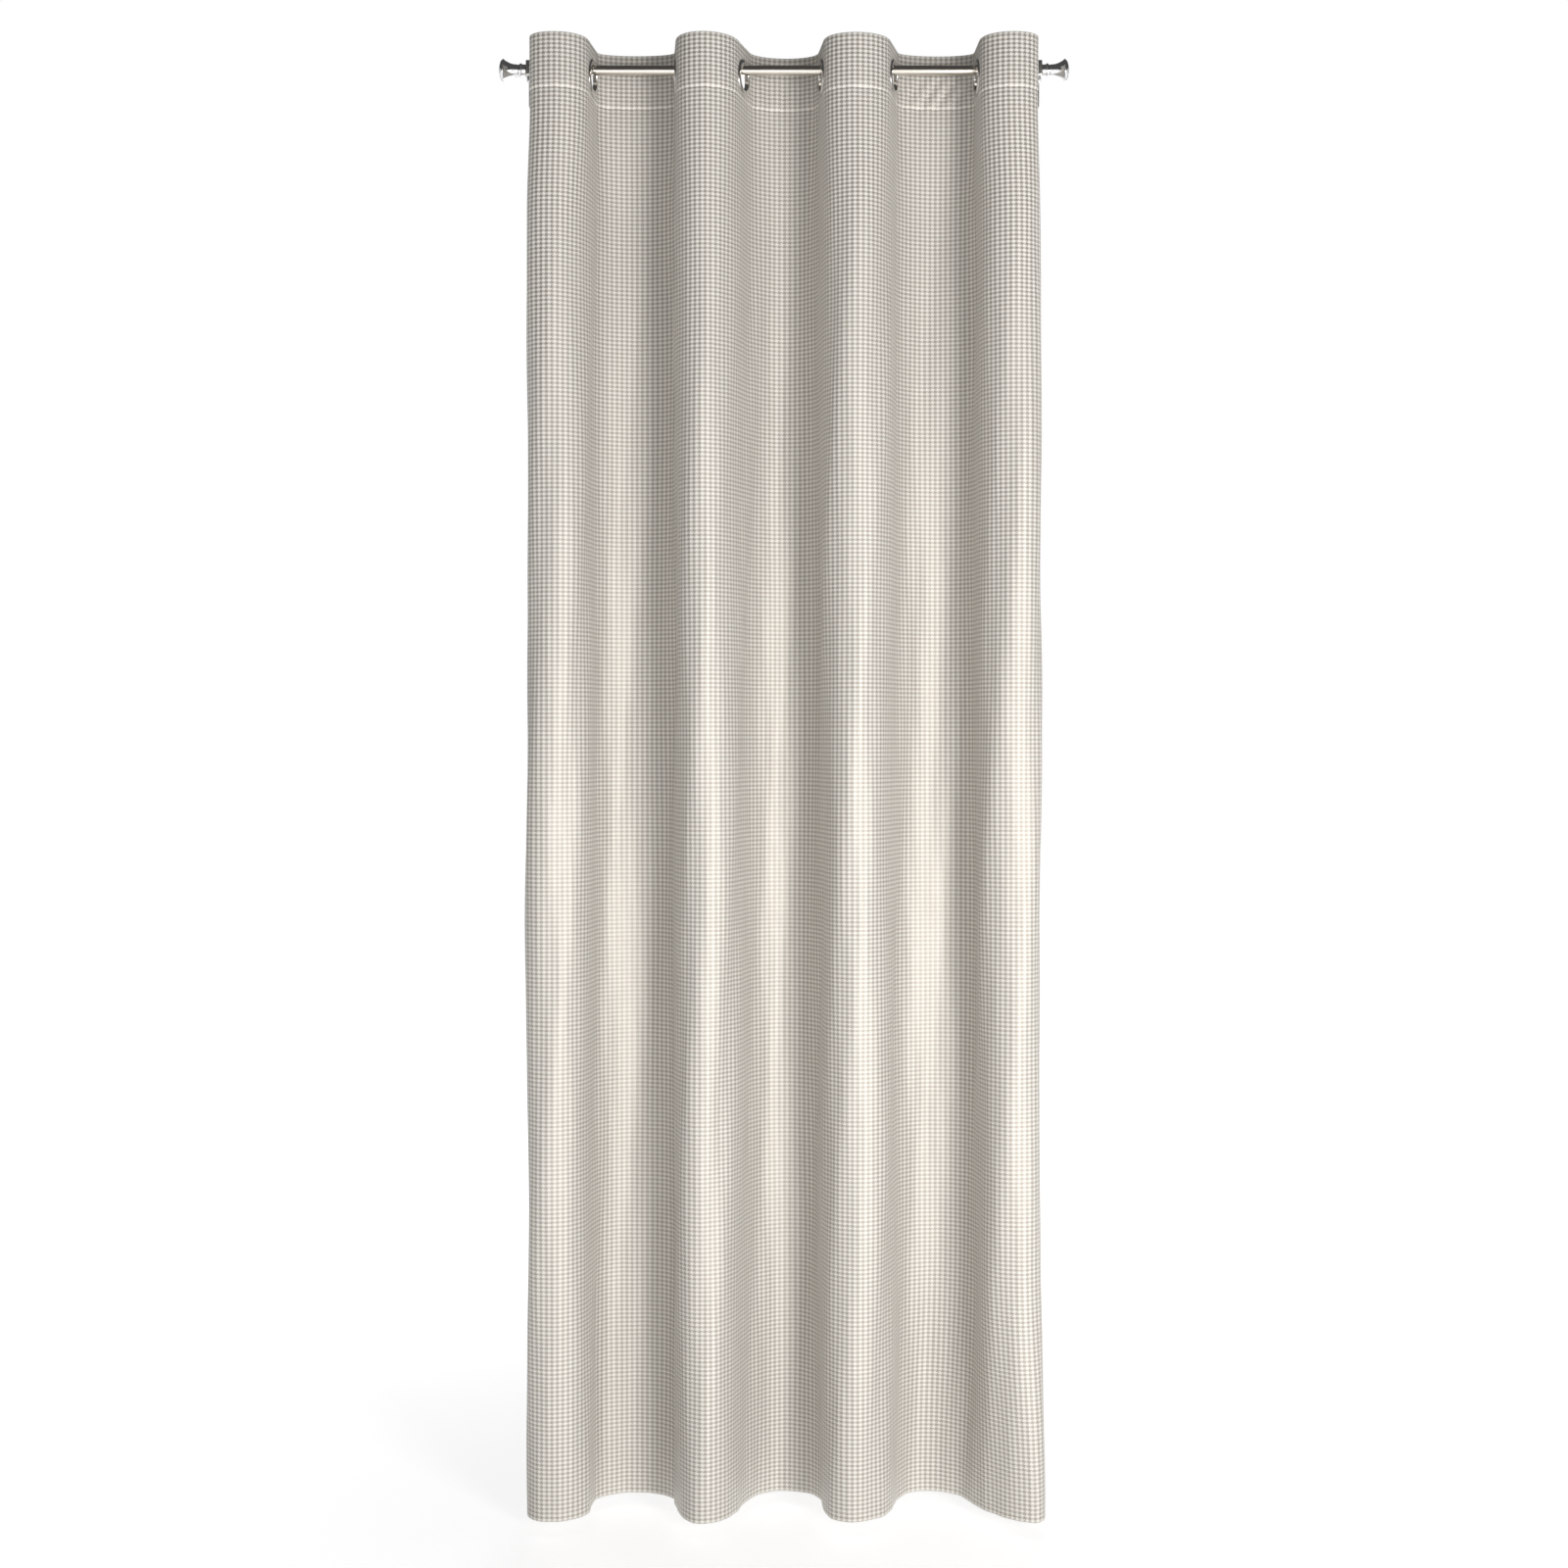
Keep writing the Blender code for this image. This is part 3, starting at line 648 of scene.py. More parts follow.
class StitchTree(RepeatTree):
    """Stitches laid along seam lines, each one turned to the line and to the cloth."""

    def __init__(self) -> None:
        """Makes the tree with its default sizes."""
        super().__init__("stitch_run", {
            "Spacing": ("NodeSocketFloat", 3.4 * MM),
            "Length": ("NodeSocketFloat", 2.6 * MM),
            "Thickness": ("NodeSocketFloat", 0.5 * MM),
            "Wander": ("NodeSocketFloat", 0.06),
            "Seed": ("NodeSocketInt", 11),
            "Material": ("NodeSocketMaterial", None),
        })

    def build(self) -> None:
        """Resamples the lines, puts a stitch at each point and turns it."""
        tree, start = self.tree, self.start.outputs
        line = tree.add("GeometryNodeMeshToCurve", {0: start["Geometry"]})
        even = tree.add("GeometryNodeResampleCurve", {"Curve": line.outputs[0], "Length": start["Spacing"]},
                        mode="LENGTH")
        ball = tree.add("GeometryNodeMeshUVSphere", {"Segments": 6, "Rings": 4, "Radius": 0.5})
        outward = tree.add("GeometryNodeInputNamedAttribute", {"Name": "outward"}, data_type="FLOAT_VECTOR")
        tangent = tree.add("GeometryNodeInputTangent")
        along = tree.add("FunctionNodeAlignRotationToVector", {"Vector": tangent.outputs[0]}, axis="X")
        faced = tree.add("FunctionNodeAlignRotationToVector",
                         {"Rotation": along.outputs[0], "Vector": outward.outputs["Attribute"]},
                         axis="Z", pivot_axis="X")
        low = tree.math("MULTIPLY", start["Wander"], -1)
        swing = tree.add("FunctionNodeRandomValue", {2: low, 3: start["Wander"], "Seed": start["Seed"]},
                         data_type="FLOAT")
        twist = tree.add("FunctionNodeAxisAngleToRotation", {"Axis": (0, 0, 1), "Angle": swing.outputs[1]})
        turn = tree.add("FunctionNodeRotateRotation",
                        {0: faced.outputs[0], 1: twist.outputs[0]}, rotation_space="LOCAL")
        size = tree.add("ShaderNodeCombineXYZ", {
            0: start["Length"], 1: start["Thickness"], 2: tree.math("MULTIPLY", start["Thickness"], 0.8),
        })
        placed = tree.add("GeometryNodeInstanceOnPoints", {
            "Points": even.outputs[0], "Instance": ball.outputs[0],
            "Rotation": turn.outputs[0], "Scale": size.outputs[0],
        })
        self.close(placed.outputs[0])


class KnurlTree(RepeatTree):
    """Ribs stood round a turned knob, along its axis."""

    def __init__(self) -> None:
        """Makes the tree with its default sizes."""
        super().__init__("knurl_ribs", {
            "Count": ("NodeSocketInt", 28),
            "Radius": ("NodeSocketFloat", 4.3 * MM),
            "Rib Width": ("NodeSocketFloat", 0.5 * MM),
            "Rib Height": ("NodeSocketFloat", 5.2 * MM),
            "Centre": ("NodeSocketVector", (0, 0, 0)),
            "Material": ("NodeSocketMaterial", None),
        })

    def build(self) -> None:
        """Puts a rib at each point of a circle and joins them to the knob."""
        tree, start = self.tree, self.start.outputs
        ring = tree.add("GeometryNodeMeshCircle", {"Vertices": start["Count"], "Radius": start["Radius"]})
        rib = tree.add("GeometryNodeMeshCylinder", {"Vertices": 6, "Radius": 1.0, "Depth": 1.0})
        size = tree.add("ShaderNodeCombineXYZ", {
            0: start["Rib Width"], 1: start["Rib Width"], 2: start["Rib Height"],
        })
        ribs = tree.add("GeometryNodeInstanceOnPoints", {
            "Points": ring.outputs[0], "Instance": rib.outputs[0], "Scale": size.outputs[0],
        })
        moved = tree.add("GeometryNodeTransform", {"Geometry": ribs.outputs[0], "Translation": start["Centre"]})
        both = tree.add("GeometryNodeJoinGeometry")
        tree.feed(both.inputs[0], start["Geometry"])
        tree.feed(both.inputs[0], moved.outputs[0])
        self.close(both.outputs[0])


# ---- The cloth's folds -----------------------------------------------------------------
@dataclass(frozen=True)
class Row:
    """One row of points up the cloth: its height, and how far behind the panel it lies."""

    z: float
    back: float = 0.0


@dataclass(frozen=True)
class Column:
    """One column of points: its distance from the left edge, and how far behind it lies."""

    u: float
    back: float = 0.0


@dataclass
class Folds:
    """The path of the cloth from its left edge to its right one, at any height."""

    pitch: float = 200 * MM
    margin: float = 50 * MM
    flange_radius: float = 29.5 * MM
    hole_radius: float = 22.3 * MM
    eyelet_below_top: float = 52 * MM
    heading_depth: float = 90 * MM
    settle_depth: float = 200 * MM
    soft_flat: float = 14 * MM
    outer_spread: float = 9 * MM
    shares: tuple[float, ...] = (0.589, 0.972, 0.787, 0.915, 0.837, 0.979, 0.567)
    splay: tuple[float, ...] = (-22, 8, 5, 17, 7, 15, 3, -22)
    hem_splay: tuple[float, ...] = (-22, 8, 5, 17, 7, 15, 30, -22)
    hem_reach: float = 420 * MM
    seam_inset: float = 1.5 * MM
    side_seam: float = 13 * MM
    pucker_height: float = 2.1 * MM
    pucker_reach: float = 20 * MM
    front_puckers: float = 0.55
    heading_rise: float = 0.9 * MM
    pull_height: float = 2.2 * MM
    pull_width: float = 27 * MM
    pull_centre: float = 26 * MM
    pull_reach: float = 24 * MM
    slanting_fold: int = 5
    upright_fold: int = 3
    seed: int = 5
    axis_y: float = field(init=False)
    top: float = field(init=False)
    hem: float = field(init=False)
    heading: float = field(init=False)
    eyelet_z: float = field(init=False)
    eyelet_x: list[float] = field(init=False)
    width: float = field(init=False)

    def __post_init__(self) -> None:
        """Reads the frame, and lays out both paths: the stiff heading's and the soft cloth's."""
        low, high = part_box("rod_tube")
        self.axis_y = (low.y + high.y) / 2
        low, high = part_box("curtain_panel")
        self.top, self.hem = high.z, low.z
        self.heading = self.top - self.heading_depth
        self.eyelet_z = self.top - self.eyelet_below_top
        free = self.pitch - 2 * self.flange_radius
        places = np.concatenate(([0.0], np.cumsum(self.shares) * free))
        self.eyelet_x = list(places - places[-1] / 2)
        self.width = 2 * self.margin + self.pitch * len(self.shares)
        spread = list(self.eyelet_x)
        spread[0] -= self.outer_spread
        spread[-1] += self.outer_spread
        self.stiff = self.path(self.eyelet_x, self.splay, self.flange_radius)
        self.soft = self.path(spread, self.splay, self.soft_flat)
        self.loose = self.path(spread, self.hem_splay, self.soft_flat)
        chance = random.Random(self.seed)
        self.ripples = [
            (size * MM, TAU / wide, TAU / tall * chance.choice((-1, 1)), chance.uniform(0, TAU))
            for size, wide, tall in (
                (1.5, 0.173, 1.35), (1.2, 0.118, 0.86), (0.8, 0.079, 0.61), (0.5, 0.046, 0.43),
                (0.35, 0.031, 0.3),
            )
        ]

    def crossing(self, index: int, splay: Sequence[float]) -> Vector:
        """The cloth's direction in plan where it crosses the rod's line at an eyelet.

        Args:
            index: The eyelet.
            splay: Each crossing's lean to the right, in degrees.

        Returns:
            The direction.
        """
        lean = radians(splay[index])
        return Vector((sin(lean), -cos(lean) if index % 2 == 0 else cos(lean)))

    def facing_of(self, index: int) -> Vector:
        """The way that an eyelet's front ring looks, in plan."""
        along = self.crossing(index, self.splay)
        return Vector((along.y, -along.x))

    def eyelet_u(self, index: int) -> float:
        """An eyelet's distance from the left edge, along the cloth."""
        return self.margin + self.pitch * index

    def fold(self, start: Vector, out: Vector, end: Vector, into: Vector, length: float) -> np.ndarray:
        """A curve of an exact length between two straight stretches.

        Args:
            start: Where the curve starts.
            out: Its direction there.
            end: Where it ends.
            into: Its direction there.
            length: Its length.

        Returns:
            Points along it, in plan.
        """
        t = np.linspace(0, 1, 121)[:, None]
        low, high = 0.0, 2 * length
        for _ in range(40):
            reach = (low + high) / 2
            corners = [np.array(p) for p in (start, start + out * reach, end - into * reach, end)]
            weights = ((1 - t) ** 3, 3 * t * (1 - t) ** 2, 3 * t * t * (1 - t), t**3)
            curve = sum(w * c for w, c in zip(weights, corners))
            if np.linalg.norm(np.diff(curve, axis=0), axis=1).sum() < length:
                low = reach
            else:
                high = reach
        return curve

    def path(self, places: Sequence[float], splay: Sequence[float],
             flat: float) -> tuple[np.ndarray, np.ndarray]:
        """The whole cloth in plan.

        Args:
            places: Each eyelet's X.
            splay: Each crossing's lean to the right, in degrees.
            flat: Straight cloth each side of a crossing.

        Returns:
            Distances from the left edge, and the plan points there.
        """
        ways = [self.crossing(i, splay) for i in range(len(places))]
        spots = [Vector((x, self.axis_y)) for x in places]
        points = [np.array([spots[0] - ways[0] * self.margin])]
        for i in range(len(places) - 1):
            start, end = spots[i] + ways[i] * flat, spots[i + 1] - ways[i + 1] * flat
            points.append(self.fold(start, ways[i], end, ways[i + 1], self.pitch - 2 * flat))
        points.append(np.array([spots[-1] + ways[-1] * self.margin]))
        line = np.concatenate(points)
        steps = np.linalg.norm(np.diff(line, axis=0), axis=1)
        distance = np.concatenate(([0.0], np.cumsum(steps)))
        return distance * self.width / distance[-1], line

    def plan(self, u: np.ndarray, z: np.ndarray) -> np.ndarray:
        """The unruffled cloth's plan point at each distance and height."""
        share = smoothstep((self.heading - z) / self.settle_depth)[..., None]
        low = smoothstep((self.hem + self.hem_reach - z) / self.hem_reach)[..., None]
        stiff, soft, loose = (
            np.stack([np.interp(u, distance, line[:, k]) for k in (0, 1)], axis=-1)
            for distance, line in (self.stiff, self.soft, self.loose)
        )
        return stiff * (1 - share) + soft * (share - low) + loose * low

    def near_eyelet(self, u: np.ndarray, z: np.ndarray) -> np.ndarray:
        """1 under an eyelet's flange, fading to 0 just outside it."""
        nearest = np.clip(np.round((u - self.margin) / self.pitch), 0, len(self.shares))
        away = np.hypot(u - self.margin - nearest * self.pitch, z - self.eyelet_z)
        return 1 - smoothstep((away - self.flange_radius - 2 * MM) / (12 * MM))

    def gathers(self, u: np.ndarray, rise: np.ndarray) -> np.ndarray:
        """The heading's thickness, the puckers along its seam and the pulls above them.

        Args:
            u: Distances from the left edge.
            rise: Heights above the heading's lower edge.

        Returns:
            How far the cloth stands forward.
        """
        turn = np.clip((u - self.margin) / self.pitch, 0, len(self.shares) - 0.001)
        fold = np.floor(turn)
        middle = np.sin(pi * (turn - fold))
        share = np.where(fold % 2 == 1, 1.0, self.front_puckers)  # the seam draws back folds in more
        close = np.exp(-np.abs(rise) / self.pucker_reach) * share * middle
        wave = np.sin(TAU * u / 0.0235 + 1.9 * np.sin(TAU * u / 0.083))
        wave *= 0.65 + 0.35 * np.sin(TAU * u / 0.131)
        lean = np.where(fold == self.slanting_fold, 0.6, 0.1)
        pull = np.sin(TAU * (u - lean * rise) / self.pull_width + 0.6)
        strength = np.where(fold == self.slanting_fold, 1.0, np.where(fold == self.upright_fold, 0.65, 0.2))
        band = bell(rise - self.pull_centre, self.pull_reach) * middle * strength * (fold % 2)
        thick = self.heading_rise * smoothstep(rise / (4 * MM))
        return self.pucker_height * close * wave + thick + self.pull_height * pull * band

    def relief(self, u: np.ndarray, z: np.ndarray) -> np.ndarray:
        """How far the cloth stands forward of its plan: ripples, seam dents and puckers."""
        below = smoothstep((self.heading - z) / 0.35)
        lift = sum(size * np.sin(wide * u + tall * z + phase)
                   for size, wide, tall, phase in self.ripples) * below
        lift += self.gathers(u, z - self.heading)
        lift -= 0.7 * MM * bell(z - self.heading - self.seam_inset, 2.2 * MM)
        over_hem = z - self.hem - 14.5 * MM
        lift -= 0.4 * MM * bell(over_hem, 1.5 * MM)
        ruffle = np.sin(TAU * u / 0.0187 + np.sin(TAU * u / 0.09))
        lift += 0.25 * MM * np.exp(-np.abs(over_hem) / (9 * MM)) * ruffle
        for seam in (self.side_seam, self.width - self.side_seam):
            lift -= 0.3 * MM * bell(u - seam, 1.5 * MM) * below
        return lift * (1 - self.near_eyelet(u, z))

    def points(self, u: np.ndarray, z: np.ndarray, back: np.ndarray | float) -> tuple[np.ndarray, np.ndarray]:
        """Places on the cloth or behind it.

        Args:
            u: Distances from the left edge.
            z: Heights.
            back: Distances behind the panel's middle.

        Returns:
            The points, and the way that the face looks at each.
        """
        small = 1.5 * MM
        along = self.plan(np.clip(u + small, None, self.width), z) - self.plan(np.clip(u - small, 0, None), z)
        along /= np.linalg.norm(along, axis=-1, keepdims=True)
        face = np.stack([along[..., 1], -along[..., 0]], axis=-1)
        flat = self.plan(u, z) + face * (self.relief(u, z) - back)[..., None]
        spots = np.concatenate([flat, z[..., None]], axis=-1)
        return spots, np.concatenate([face, np.zeros_like(z)[..., None]], axis=-1)


@dataclass
class Curtain:
    """The panel, what is sewn to its back, and the stitches."""

    folds: Folds
    thickness: float = 0.9 * MM
    stiffener_back: float = 1.1 * MM
    stiffener_thickness: float = 0.6 * MM
    facing_back: float = 2.1 * MM
    hem_back: float = 1.2 * MM
    bottom_hem_depth: float = 16 * MM
    side_hem_depth: float = 15 * MM
    keep: float = 0.3506
    body: str = "rod"
    joint: str = "curtain_draw"
    cells_under_eyelet: tuple[float, ...] = (0, 0.2, 0.4, 0.6, 0.8, 1.0, 1.16, 1.322)

    def eyelet_steps(self) -> list[float]:
        """Offsets from an eyelet's centre at which the grid has a line."""
        half = [self.folds.hole_radius * share for share in self.cells_under_eyelet]
        return [-step for step in reversed(half[1:])] + half

    def columns(self, start: float = 0.6 * MM) -> list[Column]:
        """The panel's columns, from side to side."""
        folds = self.folds
        steps = self.eyelet_steps()
        reach = steps[-1]
        last = len(folds.shares)
        seam = folds.side_seam
        places: list[float] = [start, 4 * MM, 8 * MM, seam - 1.5 * MM, seam, seam + 1.5 * MM, seam + 4.5 * MM]
        for i in range(last + 1):
            centre = folds.eyelet_u(i)
            places += [centre + step for step in steps]
            if i < last:
                places += list(np.linspace(centre + reach, folds.eyelet_u(i + 1) - reach, 22)[1:-1])
        places += [folds.width - place for place in reversed(places[:7])]
        return [Column(place) for place in places]

    def rows(self) -> list[Row]:
        """The panel's rows, up the front and over the top edge."""
        folds, half = self.folds, self.thickness / 2
        turn = self.facing_back / 2
        crown = folds.top - half - turn
        hem_turn = self.hem_back / 2
        foot = folds.hem + half + hem_turn
        rows = [Row(foot - hem_turn * sin(a), hem_turn * (1 - cos(a))) for a in (pi, 0.75 * pi, pi / 2, pi / 4)]
        bottom = [foot, folds.hem + 7 * MM]
        bottom += [folds.hem + x * MM for x in (11, 12.8, 14, 15, 16.2, 18.5, 24, 32)]
        soft = list(np.linspace(folds.hem + 44 * MM, folds.heading - 66 * MM, 106))
        seam = [folds.heading + x * MM for x in (-52, -40, -30, -22, -15, -9, -4.5, -1.2, 0.3, 1.5, 2.7, 4.2)]
        centre = folds.eyelet_z
        eyelets = [centre + step for step in self.eyelet_steps()]
        upper = list(np.linspace(eyelets[-1], crown, 6)[1:])
        rows += [Row(z) for z in (*bottom, *soft, *seam, *eyelets, *upper)]
        rows += [Row(crown + turn * sin(k * pi / 5), turn * (1 - cos(k * pi / 5))) for k in range(1, 6)]
        return rows

    def facing_rows(self) -> list[Row]:
        """The facing's rows, down the back from the top edge."""
        panel = self.rows()
        folds = self.folds
        crown = panel[-1].z
        inside = [row.z for row in panel if folds.heading + 1 * MM < row.z < crown - 1 * MM and row.back == 0]
        heights = (crown + 0.05 * MM, *sorted(set(inside), reverse=True), folds.heading)
        return [Row(z, self.facing_back) for z in heights]

    def round_hole(self, u: np.ndarray, z: np.ndarray) -> tuple[np.ndarray, np.ndarray, np.ndarray]:
        """Bends the grid round each eyelet's hole.

        Args:
            u: The grid's distances.
            z: The grid's heights.

        Returns:
            The bent distances and heights, and how far from the hole's edge each point was.
        """
        folds = self.folds
        hole, reach = folds.hole_radius, self.eyelet_steps()[-1]
        index = np.clip(np.round((u - folds.margin) / folds.pitch), 0, len(folds.shares))
        nearest = folds.margin + folds.pitch * index
        across, up = u - nearest, z - folds.eyelet_z
        square = np.maximum(np.abs(across), np.abs(up))
        round_ = np.hypot(across, up) + 1e-12
        share = 1 - smoothstep((square - hole) / (reach - hole))
        scale = 1 + share * (square / round_ - 1)
        return nearest + across * scale, folds.eyelet_z + up * scale, square - hole

    def sheet(self, name: str, columns: Sequence[Column], rows: Sequence[Row], thickness: float,
              finish: Finish, holes: bool = False) -> bpy.types.Object:
        """One layer of cloth as a closed sheet.

        Args:
            name: The piece's name.
            columns: Across it.
            rows: Up or down it.
            thickness: Its thickness.
            finish: Its finish.
            holes: Whether the eyelets' holes are cut in it.

        Returns:
            The piece, as a plain mesh.
        """
        u = np.array([[column.u for column in columns]] * len(rows))
        z = np.array([[row.z] * len(columns) for row in rows])
        back = np.array([[row.back + column.back for column in columns] for row in rows])
        if holes:
            u, z, away = self.round_hole(u, z)
            inside = away < -1e-6
        else:
            inside = np.zeros_like(u, dtype=bool)
        spots, _ = self.folds.points(u, z, back)
        across = np.concatenate(([columns[0].u], columns[0].u + np.cumsum([
            np.hypot(b.u - a.u, b.back - a.back) for a, b in zip(columns, columns[1:])])))
        upward = 1 if rows[-1].z > rows[0].z else -1
        climb = np.concatenate(([0.0], np.cumsum([
            np.hypot(b.z - a.z, b.back - a.back) for a, b in zip(rows, rows[1:])])))
        sense = 1 if rows[0].back < self.facing_back else -1
        high = rows[0].z - self.folds.hem + sense * upward * climb
        map_u = u - np.array([[column.u for column in columns]]) + across[None, :]
        map_v = sense * (z - np.array([[row.z] for row in rows])) + high[:, None]

        form = bmesh.new()
        layer = form.loops.layers.uv.new("cloth")
        count_rows, count_columns = u.shape
        verts: dict[tuple[int, int], bmesh.types.BMVert] = {}
        for r in range(count_rows):
            for c in range(count_columns):
                if not inside[r, c]:
                    verts[r, c] = form.verts.new(spots[r, c])
        for r in range(count_rows - 1):
            for c in range(count_columns - 1):
                keys = ((r, c), (r, c + 1), (r + 1, c + 1), (r + 1, c))
                if all(key in verts for key in keys) and not (holes and self.in_hole(u, z, keys)):
                    new = form.faces.new([verts[key] for key in keys])
                    for loop, key in zip(new.loops, keys):
                        loop[layer].uv = (map_u[key], map_v[key])
        if upward < 0:
            bmesh.ops.reverse_faces(form, faces=form.faces)
        loose = [v for v in form.verts if not v.link_faces]
        bmesh.ops.delete(form, geom=loose, context="VERTS")
        mesh = bpy.data.meshes.new(name)
        form.to_mesh(mesh)
        form.free()
        mesh.shade_smooth()
        piece = new_piece(name, mesh, finish)
        solid = piece.modifiers.new("thickness", "SOLIDIFY")
        solid.thickness = thickness
        solid.offset = 0
        solid.use_even_offset = True
        settled(piece)
        piece.data.set_sharp_from_angle(angle=radians(50))
        return piece

    def in_hole(self, u: np.ndarray, z: np.ndarray, keys: Sequence[tuple[int, int]]) -> bool:
        """Whether a cell of the grid lies in an eyelet's hole."""
        folds = self.folds
        middle_u = sum(u[key] for key in keys) / 4
        middle_z = sum(z[key] for key in keys) / 4
        nearest = folds.margin + folds.pitch * round((middle_u - folds.margin) / folds.pitch)
        return (middle_u - nearest) ** 2 + (middle_z - folds.eyelet_z) ** 2 < folds.hole_radius**2

    def drawn(self, piece: bpy.types.Object, finish: Finish, *nodes: str) -> bpy.types.Object:
        """Ties a layer of cloth to the rod's body and gives it a mesh of its own."""
        finished(piece, self.body, finish, *nodes)
        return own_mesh(piece)

    def side_hem(self, side: Side) -> bpy.types.Object:
        """The hem at one side: a strip on the back whose fold wraps the panel's edge."""
        folds = self.folds
        turn = self.hem_back / 2
        strip = [Column(place * MM, self.hem_back) for place in (15, 13.6, 13, 12.4, 9, 5, 2)]
        strip += [
            Column(turn * (1 - sin(a)) + 0.05 * MM, turn * (1 + cos(a)))
            for a in (k * pi / 5 for k in range(6))
        ]
        if side is Side.RIGHT:
            strip = [Column(folds.width - column.u, column.back) for column in strip]
        panel = [row.z for row in self.rows() if row.back == 0]
        low, high = folds.hem + self.bottom_hem_depth + GAP, folds.heading - GAP
        rows = [Row(z) for z in (low, *(z for z in panel if low + MM < z < high - MM), high)]
        name = f"side_hem_{side.label}"
        return self.drawn(self.sheet(name, strip, rows, self.thickness, CLOTH), CLOTH, name)

    def seam(self, name: str, runs: Sequence[tuple[np.ndarray, np.ndarray, float, bool]],
             stitches: StitchTree) -> bpy.types.Object:
        """A seam's stitches on both faces of the cloth.

        Args:
            name: The piece's name.
            runs: Distances, heights, depth behind the panel and whether it is the back face.
            stitches: The tree that lays them.

        Returns:
            The piece, as a plain mesh.
        """
        verts: list[tuple] = []
        edges: list[tuple[int, int]] = []
        ways: list[float] = []
        for u, z, back, behind in runs:
            spots, face = self.folds.points(u, z, np.full_like(u, back))
            first = len(verts)
            verts += [tuple(spot) for spot in spots]
            edges += [(k, k + 1) for k in range(first, len(verts) - 1)]
            ways += list(((-1 if behind else 1) * face).ravel())
        mesh = bpy.data.meshes.new(name)
        mesh.from_pydata(verts, edges, [])
        outward = mesh.attributes.new("outward", "FLOAT_VECTOR", "POINT")
        outward.data.foreach_set("vector", ways)
        piece = new_piece(name, mesh, THREAD)
        stitches.run(piece, Material=THREAD.material())
        return self.drawn(piece, THREAD)

    def build(self) -> None:
        folds = self.folds
        columns = self.columns()
        panel = self.sheet("curtain_panel", columns, self.rows(), self.thickness, CLOTH, True)
        facing = self.sheet("heading_facing", columns, self.facing_rows(), self.thickness, CLOTH, True)
        inner = [row for row in self.facing_rows()
                 if folds.heading + 3 * MM < row.z < folds.top - 3 * MM]
        tape = [Row(folds.top - 1.6 * MM), *(Row(row.z) for row in inner), Row(folds.heading + 2.6 * MM)]
        tape = [Row(row.z, self.stiffener_back) for row in tape]
        stiffener = self.sheet("heading_stiffener", columns, tape, self.stiffener_thickness, STIFFENING, True)
        panel_rows = self.rows()
        foot = panel_rows[4].z
        hem_rows = [Row(foot - 0.05 * MM, self.hem_back)]
        hem_rows += [Row(row.z, self.hem_back) for row in panel_rows
                     if row.back == 0 and foot + MM < row.z < folds.hem + self.bottom_hem_depth - 0.5 * MM]
        hem_rows.append(Row(folds.hem + self.bottom_hem_depth, self.hem_back))
        hem = self.sheet("bottom_hem", columns, hem_rows, self.thickness, CLOTH)
        for piece, finish in ((panel, CLOTH), (facing, CLOTH), (stiffener, STIFFENING), (hem, CLOTH)):
            self.drawn(piece, finish, piece.name)
        sides = [self.side_hem(side) for side in Side]
        seams = self.seams()

    def seams(self) -> list[bpy.types.Object]:
        """The stitches of the heading, the bottom hem and both side hems."""
        folds, stitches = self.folds, StitchTree()
        front = -self.thickness / 2
        across = np.linspace(2 * MM, folds.width - 2 * MM, 700)
        heading = np.full_like(across, folds.heading + folds.seam_inset)
        bottom = np.full_like(across, folds.hem + self.bottom_hem_depth - folds.seam_inset)
        facing_skin, hem_skin = (back + self.thickness / 2 for back in (self.facing_back, self.hem_back))
        made = [
            self.seam("heading_seam", [(across, heading, front, False), (across, heading, facing_skin, True)],
                      stitches),
            self.seam("bottom_hem_seam", [(across, bottom, front, False), (across, bottom, hem_skin, True)],
                      stitches),
        ]
        down = np.linspace(folds.heading - 2 * MM, folds.hem + self.bottom_hem_depth + 2 * MM, 500)
        for side in Side:
            place = folds.side_seam if side is Side.LEFT else folds.width - folds.side_seam
            line = np.full_like(down, place)
            made.append(self.seam(f"side_hem_seam_{side.label}",
                                  [(line, down, front, False), (line, down, hem_skin, True)], stitches))
        return made


